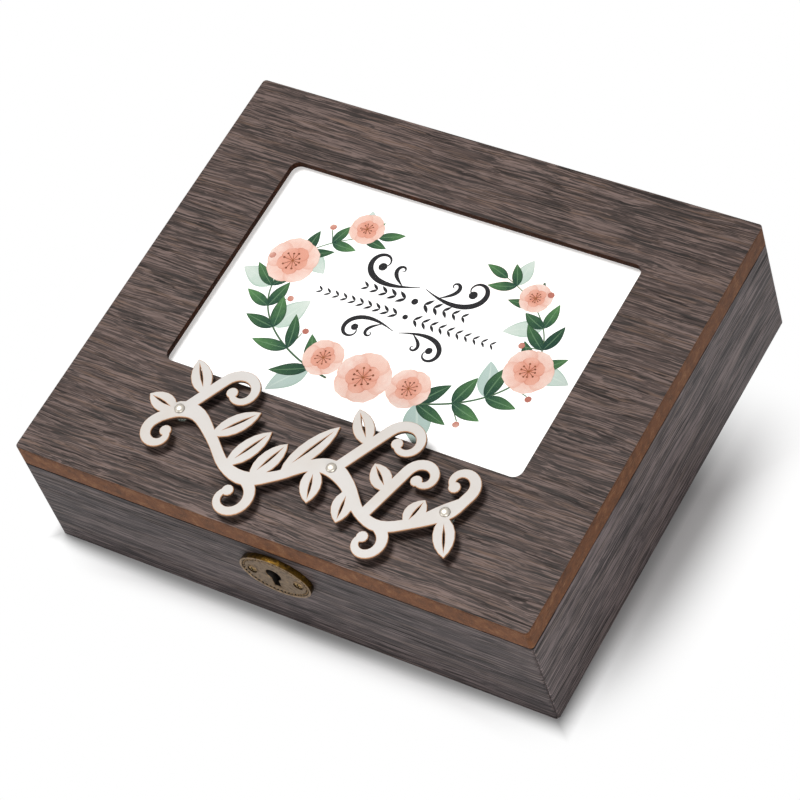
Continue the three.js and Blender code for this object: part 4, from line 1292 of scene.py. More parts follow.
@dataclass
class Lining:
    """The flocked inside: covered cards on the walls and a soft pad on the floor."""

    edge: float = 0.45
    pad_cells: float = 4.0
    pad_edge: float = 6.0
    pad_low: float = 1.4
    pad_arris: float = 0.3

    def build(self) -> None:
        """Builds the cards and the pad."""
        for side in ("front", "back", "left", "right"):
            eased_copy(side + "_flocked_card", side + "_lining", Body.BASE, VELVET, self.edge, 3)
        self.build_pad()

    def build_pad(self) -> None:
        """Builds the pad as a crowned slab that thins towards its edge."""
        low, high = corners("floor_lining")
        size = high - low
        bm = bmesh.new()
        bmesh.ops.create_grid(
            bm, x_segments=round(size.x / self.pad_cells), y_segments=round(size.y / self.pad_cells), size=0.5
        )
        bmesh.ops.scale(bm, vec=(size.x * MM, size.y * MM, 1), verts=bm.verts)
        grown = bmesh.ops.extrude_face_region(bm, geom=bm.faces[:])
        raised = [v for v in grown["geom"] if isinstance(v, bmesh.types.BMVert)]
        for vert in raised:
            inwards = min(size.x / 2 - abs(vert.co.x) / MM, size.y / 2 - abs(vert.co.y) / MM)
            share = min(max(inwards / self.pad_edge, 0.0), 1.0)
            rise = self.pad_low + (size.z - self.pad_low) * math.sqrt(1 - (1 - share) ** 2)
            vert.co.z = rise * MM
        bmesh.ops.recalc_face_normals(bm, faces=bm.faces)
        middle = Vector((low.x + high.x, low.y + high.y, 2 * low.z)) / 2
        bmesh.ops.translate(bm, vec=middle * MM, verts=bm.verts)
        ease(bm, self.pad_arris, 2, 60)
        shade(bm, 60)
        pad = place_piece("floor_pad", bm, Body.BASE, VELVET, ("floor_lining",))


@dataclass
class KeyholePlate:
    """The oval plate: a rim, a sunk ring of beads, a collar round each screw and the keyhole."""

    half_length: float = 14.6
    half_height: float = 10.3
    to_right: float = 0.5
    back: float = -89.6
    depth: float = 2.2
    rim: float = 0.95
    ring: float = 1.0
    ring_sunk: float = 0.62
    face_sunk: float = 0.2
    edge: float = 0.16
    beads: int = 46
    bead: float = 0.5
    keyhole_radius: float = 3.1
    keyhole_slot: float = 2.9
    keyhole_reach: float = 7.2
    keyhole_above: float = 1.1
    keyhole_flare: float = 1.05
    fillet: float = 0.15
    screw_spacing: float = 19.0
    screw_bore: float = 0.97
    screw_seat: float = 2.02
    collar: float = 2.45
    collar_wall: float = 0.55
    collar_proud: float = 0.2
    head_sunk: float = 1.25
    bead_proud: float = 0.12
    bead_flat: float = 0.9
    path_steps: int = 720
    sides: int = 96

    def oval(self, before: float, inset: float, height: float) -> Move:
        """Returns a move that draws one of the plate's ovals in to the next.

        Args:
            before: The distance of the oval that is drawn in, inside the plate's outline, in millimetres.
            inset: The next one's distance.
            height: The next one's height in front of the plate's back, in millimetres.

        Returns:
            The move.
        """
        long = (self.half_length - inset) / (self.half_length - before)
        short = (self.half_height - inset) / (self.half_height - before)
        return lambda place: Vector((place.x * long, place.y * short, height * MM))

    @staticmethod
    def ring_at(x: float, radius: float, height: float) -> Move:
        """Returns a move that lays a point on a circle of the plate's middle line, by its direction."""

        def move(place: Vector) -> Vector:
            out = Vector((place.x - x * MM, place.y, 0)).normalized() * radius
            return Vector((x + out.x, out.y, height)) * MM

        return move

    def grown(self, share: float, height: float) -> Move:
        """Returns a move that grows the keyhole's outline about its middle and sets its height."""
        return lambda place: Vector((place.x * share, place.y * share, height * MM))

    def circle(self, bm: bmesh.types.BMesh, steps: int, move: Move) -> list[bmesh.types.BMEdge]:
        """Adds a closed line of even steps, moved to its place, and returns its edges."""
        made = bmesh.ops.create_circle(bm, segments=steps, radius=1.0)["verts"]
        edges = list({e for v in made for e in v.link_edges})
        for vert in made:
            vert.co = move(vert.co)
        return edges

    @staticmethod
    def drawn_out(
        bm: bmesh.types.BMesh,
        edges: list[bmesh.types.BMEdge],
        moves: Iterable[Move],
        materials: Iterable[int] = (),
    ) -> list[bmesh.types.BMEdge]:
        """Draws a closed line out into a wall, one move after another.

        Args:
            bm: The mesh.
            edges: The line's edges.
            moves: Each step's move.
            materials: Each step's material number, where it isn't 0.

        Returns:
            The last line's edges.
        """
        for move, number in zip_longest(moves, materials, fillvalue=0):
            made = bmesh.ops.extrude_edge_only(bm, edges=edges)["geom"]
            verts = {item for item in made if isinstance(item, bmesh.types.BMVert)}
            for item in made:
                if isinstance(item, bmesh.types.BMFace):
                    item.material_index = number
            edges = [e for e in made if isinstance(e, bmesh.types.BMEdge) and verts.issuperset(e.verts)]
            for vert in verts:
                vert.co = move(vert.co)
        return edges

    def keyhole(self, bm: bmesh.types.BMesh) -> list[bmesh.types.BMEdge]:
        """Adds the keyhole's line at the plate's back and returns its edges."""
        radius, half = self.keyhole_radius, self.keyhole_slot / 2
        shoulder = math.asin(half / radius)
        turns = [shoulder - math.pi / 2 + i * (math.tau - 2 * shoulder) / 28 for i in range(29)]
        points = [(radius * math.cos(t), radius * math.sin(t)) for t in turns]
        points += [(-half, -self.keyhole_reach), (half, -self.keyhole_reach)]
        aside, above = self.to_right, self.keyhole_above
        verts = [bm.verts.new(((x - aside) * MM, (y + above) * MM, 0)) for x, y in points]
        return [bm.edges.new((a, b)) for a, b in zip(verts, verts[1:] + verts[:1])]

    def build(self) -> None:
        """Builds the plate and its screws."""
        face = self.depth - self.face_sunk
        screws = (-self.screw_spacing / 2, self.screw_spacing / 2)
        bm = bmesh.new()
        inner = self.rim + self.ring
        steps = (
            (0.0, self.depth - self.edge),
            (0.3 * self.edge, self.depth - 0.3 * self.edge),
            (self.edge, self.depth),
            (self.rim - self.fillet, self.depth),
            (self.rim, self.depth - self.fillet),
            (self.rim + 0.1, self.depth - self.ring_sunk),
            (inner - 0.1, self.depth - self.ring_sunk),
            (inner, face - 0.12),
            (inner + 0.12, face),
        )
        size = Vector((self.half_length, self.half_height)) * MM
        outline = self.circle(bm, self.sides, lambda place: Vector((place.x * size.x, place.y * size.y, 0)))
        rear_edges = outline[:]
        moves = [self.oval(before[0], *step) for before, step in zip(((0.0, 0.0), *steps), steps)]
        outer_edges = self.drawn_out(bm, outline, moves, (1, 1, 3, 3, 3, 2, 2, 2, 0))
        slot = self.keyhole(bm)
        rear_edges += slot
        flare = (self.grown(1.0, face - 0.2), self.grown(self.keyhole_flare, face))
        outer_edges += self.drawn_out(bm, slot, flare, (2, 0))
        top, bore, seat = face + self.collar_proud, self.screw_bore, self.screw_seat
        for x in screws:
            hole = self.circle(
                bm, 32, lambda place, x=x: Vector(((x + bore * place.x) * MM, bore * place.y * MM, 0))
            )
            rear_edges += hole
            rings = (
                (bore, self.depth - self.head_sunk - 0.05),
                (seat, self.depth - self.head_sunk),
                (seat, face - 0.25),
                (self.collar - self.collar_wall, top),
                (self.collar - self.fillet, top),
                (self.collar, face),
            )
            outer_edges += self.drawn_out(bm, hole, [self.ring_at(x, *ring) for ring in rings])
        bmesh.ops.triangle_fill(bm, use_beauty=True, edges=outer_edges, normal=(0, 0, 1))
        bmesh.ops.triangle_fill(bm, use_beauty=True, edges=rear_edges, normal=(0, 0, -1))
        bmesh.ops.recalc_face_normals(bm, faces=bm.faces)
        self.add_beads(bm)
        bmesh.ops.rotate(bm, cent=(0, 0, 0), matrix=Matrix.Rotation(math.pi / 2, 3, "X"), verts=bm.verts)
        middle = centre("escutcheon_plate")
        bmesh.ops.translate(bm, vec=(middle.x * MM, self.back * MM, middle.z * MM), verts=bm.verts)
        shade(bm, 38)
        finishes = (OLD_BRASS, BRASS_SIDE, BRASS_GROOVE, BRASS_RIM)
        place_piece("keyhole_plate", bm, Body.BASE, finishes, ("escutcheon_plate",))
        for side in ("left", "right"):
            screw = Screw(head_height=0.5, dome=0.7, cross_length=1.2, finish=OLD_SCREW)
            screw.build("keyhole_plate_screw_" + side, "escutcheon_screw_" + side, Way.BACK, Body.BASE)

    def add_beads(self, bm: bmesh.types.BMesh) -> None:
        """Adds the ring of cast beads, evenly spaced along the oval."""
        long, short = self.half_length - self.rim - self.ring / 2, self.half_height - self.rim - self.ring / 2
        turns = [math.tau * i / self.path_steps for i in range(self.path_steps + 1)]
        path = [(long * math.cos(turn), short * math.sin(turn)) for turn in turns]
        lengths = [0.0]
        for a, b in zip(path, path[1:]):
            lengths.append(lengths[-1] + math.dist(a, b))
        for i in range(self.beads):
            target = lengths[-1] * i / self.beads
            k = next(j for j, value in enumerate(lengths) if value >= target)
            x, y = path[k]
            made = bmesh.ops.create_icosphere(bm, subdivisions=2, radius=self.bead * MM)
            bmesh.ops.scale(bm, vec=(1, 1, self.bead_flat), verts=made["verts"])
            height = self.depth - self.ring_sunk + self.bead_proud
            bmesh.ops.translate(bm, vec=(x * MM, y * MM, height * MM), verts=made["verts"])


@dataclass
class LinkLock:
    """The lock in the front wall, whose bolt a key would slide, and the strike in the lid."""

    arris: float = 0.12

    def build(self) -> None:
        """Builds the case, its cover, the bolt, the spring, the strike and the screws."""
        for name, node, body, finish in (
            ("lock_case_plated", "lock_case", Body.BASE, STEEL),
            ("lock_cover", "lock_cap", Body.BASE, STEEL),
            ("lock_leaf_spring", "lock_spring", Body.BASE, STEEL),
            ("lock_sliding_bolt", "lock_bolt", Body.BOLT, PLAIN_BRASS),
            ("lid_strike", "strike_plate", Body.LID, PLAIN_BRASS),
        ):
            eased_copy(name, node, body, finish, self.arris)
        for side in ("left", "right"):
            Screw().build("lock_fixing_" + side, "lock_screw_" + side, Way.FRONT, Body.BASE)
            Screw().build("strike_fixing_" + side, "strike_screw_" + side, Way.UP, Body.LID)


@dataclass
class StopHinges:
    """The two stop hinges, whose leaves meet at their ears when the lid is fully open."""

    arris: float = 0.15
    pin: float = 0.9
    pin_dome: float = 0.3

    def build(self) -> None:
        """Builds the leaves, the pins and the screws."""
        for side in ("left", "right"):
            for part, body, way in (("base", Body.BASE, Way.DOWN), ("lid", Body.LID, Way.UP)):
                node = f"hinge_{part}_leaf_{side}"
                eased_copy(f"{side}_hinge_{part}_leaf", node, body, PLAIN_BRASS, self.arris)
                for number in (1, 2):
                    name = f"{side}_hinge_{part}_screw_{number}"
                    Screw().build(name, f"hinge_{part}_screw_{side}_{number}", way, body)
            self.build_pin(side)

    def build_pin(self, side: str) -> None:
        """Builds a pin with rounded ends."""
        node = "hinge_pin_" + side
        low, high = corners(node)
        length = high.x - low.x
        dome = self.pin_dome
        profile = [(0, 0), (self.pin - dome, 0), (self.pin, dome), (self.pin, length - dome)]
        profile += [(self.pin - dome, length), (0, length)]
        bm = spun(profile, 24)
        bmesh.ops.rotate(bm, cent=(0, 0, 0), matrix=Matrix.Rotation(math.pi / 2, 3, "Y"), verts=bm.verts)
        middle = (low + high) / 2
        bmesh.ops.translate(bm, vec=Vector((low.x, middle.y, middle.z)) * MM, verts=bm.verts)
        shade(bm, 40)
        place_piece(f"{side}_hinge_pin", bm, Body.BASE, PLAIN_BRASS, (node,))


@dataclass
class Lid:
    """The lid's board with painted edges and the oak-look sheet on top of it."""

    window_half_length: float = 73.4
    window_half_width: float = 47.7
    window_towards_back: float = 11.2
    arris: float = 0.45
    sheet_arris: float = 0.25
    bumper_edge: float = 0.4
    window_band: float = 0.2
    slanted: tuple[float, float] = (0.2, 0.95)

    def in_window(self, face: bmesh.types.BMFace) -> bool:
        """Tells whether a face is on the window's inner edge."""
        middle = face.calc_center_median() / MM
        return (
            abs(face.normal.z) < UPRIGHT
            and abs(middle.x) < self.window_half_length + self.window_band
            and abs(middle.y - self.window_towards_back) < self.window_half_width + self.window_band
        )

    def board_paint(self, face: bmesh.types.BMFace) -> int:
        """Returns the board's material number for a face."""
        if self.in_window(face):
            return 1
        return 2 if face.normal.z < -0.5 else 0

    def sheet_paint(self, face: bmesh.types.BMFace) -> int:
        """Returns the sheet's material number for a face."""
        if self.in_window(face):
            return 1
        return 2 if abs(face.normal.z) < UPRIGHT else 0

    def build(self) -> None:
        """Builds the board, the sheet and the bumpers under the lid."""
        paints = (EDGE_PAINT, WINDOW_PAINT_AND_SHADE_LINE, UNDERSIDE_PAINT)
        board = eased_copy("lid_board", "lid_panel", Body.LID, paints, self.arris, 2, self.board_paint)
        # The eased edges over and under the board's sides take the near-black window paint, which is painted
        # shade: a dark line below the sheet and a painted shadow line above the gap to the walls.
        for face in board.data.polygons:
            if self.slanted[0] < abs(face.normal.z) < self.slanted[1]:
                face.material_index = 1
        finishes = (LID_FILM, WINDOW_PAINT_AND_SHADE_LINE, EDGE_PAINT)
        eased_copy("lid_oak_sheet", "lid_veneer", Body.LID, finishes, self.sheet_arris, 2, self.sheet_paint)
        for side in ("left", "right"):
            self.build_bumper(side)

    def build_bumper(self, side: str) -> None:
        """Builds a round rubber bumper in the base's rim."""
        node = "lid_bumper_" + side
        low, high = corners(node)
        radius, height, edge = (high.x - low.x) / 2, high.z - low.z, self.bumper_edge
        profile = [(0, 0), (radius, 0), (radius, height - edge), (radius - 0.3 * edge, height - 0.3 * edge)]
        profile += [(radius - edge, height), (0, height)]
        spun_piece("rim_bumper_" + side, node, Body.BASE, RUBBER, profile, 36, low.z)


@dataclass
class PictureWindow:
    """The glass, the printed card, the backing board and the buttons that hold them in."""

    glass_arris: float = 0.25
    board_arris: float = 0.3
    button_arris: float = 0.15

    def build(self) -> None:
        """Builds the stack behind the window and the buttons under it."""
        eased_copy("window_glass", "glass_pane", Body.LID, GLASS, self.glass_arris)
        dress("print_card", PAPER)
        eased_copy("window_backing", "backing_board", Body.LID, HARDBOARD, self.board_arris)
        for side, body in (
            ("left", Body.BUTTON_LEFT),
            ("right", Body.BUTTON_RIGHT),
            ("front", Body.BUTTON_FRONT),
            ("back", Body.BUTTON_BACK),
        ):
            node = "turn_button_" + side
            eased_copy("backing_button_" + side, node, body, PLAIN_BRASS, self.button_arris)
            screw = Screw(head_height=0.5, dome=0.7, cross_length=1.2)
            screw.build("backing_button_screw_" + side, "turn_button_screw_" + side, Way.UP, Body.LID)
        CardPrint().build()


@dataclass
class CardPrint:
    """The card's generic watercolour print: a leafy oval with blossoms round some penned curls.

    Every shape is a very thin layer of ink that lies on the card under the glass.
    """

    middle_x: float = 0.0
    middle_y: float = 11.2
    reach_x: float = 54.5
    reach_y: float = 33.5
    thickness: float = 0.006
    level: float = 0.003
    levels: int = 5
    curl_steps: int = 60
    pen_least: float = 0.3
    seed: int = 11
    meshes: dict[str, bmesh.types.BMesh] = field(default_factory=dict)
    count: int = 0

    def layer(self, name: str) -> bmesh.types.BMesh:
        """Returns the mesh of one ink, made on its first use."""
        if name not in self.meshes:
            bm = bmesh.new()
            bm.loops.layers.uv.new("shape")
            bm.faces.layers.float.new("tone")
            self.meshes[name] = bm
        return self.meshes[name]

    def stroke(
        self,
        name: str,
        cells: tuple[int, int],
        path: Callable[[float], Vector],
        width: Callable[[float], float],
        tone: float,
    ) -> None:
        """Lays one stroke of ink along a path.

        Args:
            name: The ink.
            cells: The grid's cells along and across the stroke.
            path: The place on the card, in millimetres, at a share of the stroke.
            width: The stroke's width, in millimetres, at a share of it.
            tone: How far it goes towards the ink's other colour.
        """
        bm = self.layer(name)
        made = bmesh.ops.create_grid(bm, x_segments=cells[0], y_segments=cells[1], size=0.5)
        faces = {f for v in made["verts"] for f in v.link_faces}
        uv = bm.loops.layers.uv["shape"]
        for face in faces:
            face[bm.faces.layers.float["tone"]] = tone
            for loop in face.loops:
                loop[uv].uv = (loop.vert.co.x + 0.5, loop.vert.co.y + 0.5)
        self.count += 1
        height = PRINT_INKS[name][1] + self.level * (self.count % self.levels)
        step = 0.01
        for vert in made["verts"]:
            along, across = vert.co.x + 0.5, vert.co.y
            heading = (path(min(along + step, 1.0)) - path(max(along - step, 0.0))).normalized()
            place = path(along) + Vector((-heading.y, heading.x)) * across * max(width(along), 0.03)
            vert.co = Vector((place.x, place.y, height)) * MM
        grown = bmesh.ops.extrude_face_region(bm, geom=list(faces), use_keep_orig=True)
        lower = [v for v in grown["geom"] if isinstance(v, bmesh.types.BMVert)]
        bmesh.ops.translate(bm, vec=(0, 0, -self.thickness * MM), verts=lower)

    def stamp(
        self,
        name: str,
        cells: tuple[int, int],
        size: tuple[float, float],
        outline: Callable[[float], float],
        place: tuple[float, float],
        degrees: float,
        tone: float,
        bend: float = 0.0,
    ) -> None:
        """Lays one petal, leaf or dot on the card.

        Args:
            name: The ink.
            cells: The grid's cells along and across the shape.
            size: The shape's length and greatest width, in millimetres.
            outline: The share of the width that the shape has at a share of its length.
            place: The shape's foot on the card, in millimetres.
            degrees: The way that it points.
            tone: How far it goes towards the ink's other colour.
            bend: The sideways bend of its tip, as a share of its length.
        """
        length, width = size
        turn = Matrix.Rotation(math.radians(degrees), 2)
        foot = Vector(place)
        self.stroke(
            name,
            cells,
            lambda share: foot + turn @ Vector((share * length, bend * length * share**2)),
            lambda share: width * outline(share),
            tone,
        )

    def curl(
        self, foot: tuple[float, float], degrees: float, length: float, sway: float, wind: float
    ) -> Callable[[float], Vector]:
        """Returns the path of a penned curl that winds up towards its end.

        Args:
            foot: Its start on the card, in millimetres.
            degrees: The way that it sets out.
            length: Its length, in millimetres.
            sway: The turn that it makes evenly along its length, in degrees.
            wind: The further turn, most of it near the end, in degrees.

        Returns:
            The path.
        """
        points = [Vector(foot)]
        for i in range(self.curl_steps):
            share = (i + 0.5) / self.curl_steps
            angle = math.radians(degrees + sway * share + wind * share**3.2)
            points.append(points[-1] + Vector((math.cos(angle), math.sin(angle))) * length / self.curl_steps)

        def path(share: float) -> Vector:
            at = share * self.curl_steps
            i = min(int(at), self.curl_steps - 1)
            return points[i].lerp(points[i + 1], at - i)

        return path

    @staticmethod
    def leaf_shape(share: float) -> float:
        """Returns a leaf's width at a share of its length."""
        return math.sin(math.pi * min(share**0.8, 1.0)) ** 0.9

    @staticmethod
    def petal_shape(share: float) -> float:
        """Returns a petal's width at a share of its length."""
        return math.sin(math.pi * min(0.06 + 0.94 * share**1.5, 1.0)) ** 0.6

    @staticmethod
    def round_shape(share: float) -> float:
        """Returns a disc's width at a share of its length."""
        return math.sqrt(max(4 * share * (1 - share), 0.0))

    def blossom(self, x: float, y: float, radius: float, turn: float, rng: random.Random) -> None:
        """Lays a blossom with five wide petals, five deeper inner ones and a ring of stamens."""
        for i in range(5):
            degrees = turn + 72 * i + rng.uniform(-5, 5)
            size = (radius, radius * rng.uniform(1.12, 1.24))
            self.stamp("petals", (10, 10), size, self.petal_shape, (x, y), degrees, rng.uniform(0, 0.5))
        for i in range(5):
            degrees = turn + 36 + 72 * i + rng.uniform(-6, 6)
            size = (radius * rng.uniform(0.56, 0.66), radius * rng.uniform(0.56, 0.66))
            self.stamp("inner_petals", (8, 8), size, self.petal_shape, (x, y), degrees, rng.uniform(0, 1))
        for i in range(10):
            degrees = 36 * i + rng.uniform(-9, 9)
            far = radius * rng.uniform(0.2, 0.34)
            dot = radius * 0.085
            foot = (x + far * math.cos(math.radians(degrees)), y + far * math.sin(math.radians(degrees)))
            self.stamp("stamens", (2, 2), (far, 0.22), lambda share: 1.0, (x, y), degrees, 0.2)
            self.stamp("stamens", (4, 4), (dot, dot), self.round_shape, foot, degrees, rng.uniform(0.3, 1))

    def branch(self, side: int, start: float, end: float, pairs: int, rng: random.Random) -> None:
        """Lays one branch along the oval, with pairs of leaves that shrink towards its tip.

        Args:
            side: 1 for the right-hand branch and -1 for the left-hand one.
            start: The oval's angle at the foot, in degrees from the front.
            end: Its angle at the tip.
            pairs: The number of pairs of leaves.
            rng: The source of small differences.
        """

        def point(share: float) -> Vector:
            """Returns the place at a share of the branch."""
            angle = math.radians(start + (end - start) * share)
            x = self.middle_x + side * self.reach_x * math.sin(angle)
            return Vector((x, self.middle_y - self.reach_y * math.cos(angle)))

        self.stroke("stems", (64, 2), point, lambda share: 0.85 - 0.5 * share, 0.3)
        for i in range(pairs):
            share = (i + 0.6) / pairs
            foot = point(share)
            way = point(share + 0.01) - foot
            heading = math.degrees(math.atan2(way.y, way.x))
            grow = 1 - 0.35 * share
            for hand in (-1, 1):
                length = rng.uniform(13.5, 17.0) * grow
                width = rng.uniform(5.2, 6.4) * grow
                degrees = heading + hand * rng.uniform(34, 54)
                bend = -hand * rng.uniform(0.02, 0.14)
                tone = rng.uniform(0, 0.85)
                self.stamp("leaves", (14, 6), (length, width), self.leaf_shape, foot, degrees, tone, bend)
            if i % 2 == 0:
                hand = side if i % 4 else -side
                degrees = heading + hand * rng.uniform(60, 84)
                size = (rng.uniform(17, 20) * grow, rng.uniform(9, 10.5) * grow)
                tone = rng.uniform(0, 0.9)
                self.stamp("sage_leaves", (14, 8), size, self.leaf_shape, foot, degrees, tone, hand * 0.1)
            else:
                degrees = heading + rng.choice((-1, 1)) * 80
                far = 8.5 * grow
                tip = foot + Vector((math.cos(math.radians(degrees)), math.sin(math.radians(degrees)))) * far
                self.stamp("stems", (6, 2), (far, 0.4), lambda share: 1.0, foot, degrees, 0.4, 0.06)
                self.stamp("berries", (6, 6), (2.6, 2.6), self.round_shape, tip, degrees, rng.uniform(0, 1))
        foot = point(1.0)
        way = foot - point(0.98)
        heading = math.degrees(math.atan2(way.y, way.x))
        self.stamp("leaves", (14, 6), (10.5, 4.0), self.leaf_shape, foot, heading, 0.2, 0.05)

    def pen_width(self, most: float) -> Callable[[float], float]:
        """Returns the pen's width along a stroke that swells to a greatest width in its middle."""
        return lambda s: self.pen_least + (most - self.pen_least) * math.sin(math.pi * s) ** 1.4

    def penned_row(
        self, y: float, start: float, length: float, thick: float, sway: float, wind: float
    ) -> None:
        """Pens one pair of mirrored curls, each with a smaller curl on its back and a ball at its end.

        Args:
            y: The row's place, in millimetres behind the card's middle.
            start: Where each curl starts, in millimetres beside the middle.
            length: The length of a curl, in millimetres.
            thick: The pen's greatest width, in millimetres.
            sway: The even turn of a curl, in degrees.
            wind: The winding of its end, in degrees.
        """
        for side in (-1, 1):
            foot = (self.middle_x + side * start, self.middle_y + y)
            ahead = 0.0 if side > 0 else 180.0
            path = self.curl(foot, ahead - side * sway / 2, length, side * sway, side * wind)
            self.stroke("pen", (72, 2), path, self.pen_width(thick), 0.0)
            ball = 1.5 * thick
            end = path(1.0)
            self.stamp("pen", (8, 8), (ball, ball), self.round_shape, (end.x - ball / 2, end.y), 0.0, 0.0)
            back = path(0.16)
            away = side * math.copysign(1.0, sway)
            twig = self.curl((back.x, back.y), ahead + away * 34, 0.36 * length, 0.0, away * 330)
            self.stroke("pen", (48, 2), twig, self.pen_width(0.7 * thick), 0.0)

    def penned_chain(self, y: float, half: int, pitch: float, size: tuple[float, float]) -> None:
        """Pens a chain of small leaning dashes that mirror each other on both sides of a dot."""
        for i in range(1, half + 1):
            fade = 1 - 0.3 * i / half
            for side in (-1, 1):
                foot = (self.middle_x + side * i * pitch, self.middle_y + y)
                for hand in (-1, 1):
                    degrees = (0.0 if side > 0 else 180.0) + hand * 42
                    dash = (size[0] * fade, size[1] * fade)
                    self.stamp("pen", (8, 2), dash, self.leaf_shape, foot, degrees, 0.0, 0.1 * hand * side)
        dot = 1.8 * size[1]
        foot = (self.middle_x - dot / 2, self.middle_y + y)
        self.stamp("pen", (8, 8), (dot, dot), self.round_shape, foot, 0, 0)

    def build(self) -> None:
        """Lays the whole print and makes a piece of each ink."""
        rng = random.Random(self.seed)
        for side in (-1, 1):
            self.branch(side, 15, 150, 9, rng)
        for x, y, radius, turn in (
            (-1.5, -27.5, 11.0, 12),
            (-19.5, -25.0, 8.0, 50),
            (16.5, -26.0, 8.6, -14),
            (-52.5, 9.0, 10.4, 30),
            (53.5, -4.5, 9.6, 66),
            (-33.0, 31.0, 7.0, 0),
            (41.0, 24.5, 6.4, 20),
        ):
            self.blossom(self.middle_x + x, self.middle_y + y, radius, turn, rng)
        self.penned_row(14.5, 1.2, 41.0, 2.3, 44, 330)
        self.penned_chain(8.2, 5, 3.9, (4.4, 1.5))
        self.penned_chain(1.0, 10, 3.5, (3.8, 1.2))
        self.penned_row(-6.0, 1.2, 33.0, 1.9, -40, -330)
        low, high = corners("print_card")
        for name, (ink, _) in PRINT_INKS.items():
            bm = self.meshes[name]
            bmesh.ops.translate(bm, vec=(0, 0, high.z * MM), verts=bm.verts)
            bmesh.ops.recalc_face_normals(bm, faces=bm.faces)
            place_piece("card_print_" + name, bm, Body.LID, ink)


@dataclass
class Ornament:
    """The cut-out scroll on its clear spacers, held by three domed rivets."""

    chamfer: float = 0.22
    merge: float = 0.09
    face_up: float = 0.98
    spacer_edge: float = 0.12
    spacer_bore: float = 0.92
    rivet_shank: float = 0.8
    rivet_dome: float = 1.1
    rivet_brim: float = 0.12

    def build(self) -> None:
        """Builds the scroll, the spacers and the rivets."""
        bm = merged_copy("scroll_ornament", self.merge, 0.8)
        ease(bm, self.chamfer, 1, 60, clamp=False)
        bm.normal_update()
        for face in bm.faces:
            face.material_index = 0 if face.normal.z > self.face_up else 1
        shade(bm, 40)
        finishes = (PEARL, BURNT)
        place_piece("scroll_pearl", bm, Body.LID, finishes, ("scroll_ornament",), weighted=True)
        for side in ("left", "middle", "right"):
            self.build_spacer(side)
            self.build_rivet(side)

    def build_spacer(self, side: str) -> None:
        """Builds a clear tube between the lid and the scroll."""
        node = "ornament_spacer_" + side
        low, high = corners(node)
        outer, bore, edge = (high.x - low.x) / 2, self.spacer_bore, self.spacer_edge
        profile = [
            (bore, low.z),
            (outer - edge, low.z),
            (outer, low.z + edge),
            (outer, high.z - edge),
            (outer - edge, high.z),
            (bore, high.z),
            (bore, low.z),
        ]
        spun_piece("clear_spacer_" + side, node, Body.LID, ACRYLIC, profile, 40)

    def build_rivet(self, side: str) -> None:
        """Builds a domed rivet with its shank."""
        node = "ornament_rivet_" + side
        low, high = corners(node)
        head, shank, dome = (high.x - low.x) / 2, self.rivet_shank, self.rivet_dome
        under, brim = high.z - dome, self.rivet_brim
        turns = (0, 0.3, 0.6, 0.9, 1.2, 1.4)
        arc = [(head * math.cos(a), under + brim + (dome - brim) * math.sin(a)) for a in turns]
        profile = [(0, low.z), (shank, low.z + shank), (shank, under), (head, under), *arc, (0, high.z)]
        spun_piece("dome_rivet_" + side, node, Body.LID, NICKEL, profile, 40)


# The studio


@dataclass(frozen=True)
class Lamp:
    """A round soft lamp that looks at the box."""

    name: str
    place: Point
    size: float
    power: float

    def build(self) -> None:
        """Builds the lamp."""
        light = bpy.data.lights.new(self.name, "AREA")
        light.shape = "DISK"
        light.size = self.size * MM
        light.energy = self.power
        lamp = bpy.data.objects.new(self.name, light)
        lamp.location = Vector(self.place) * MM
        lamp.rotation_euler = (-lamp.location).to_track_quat("-Z", "Y").to_euler()
        bpy.context.scene.collection.objects.link(lamp)


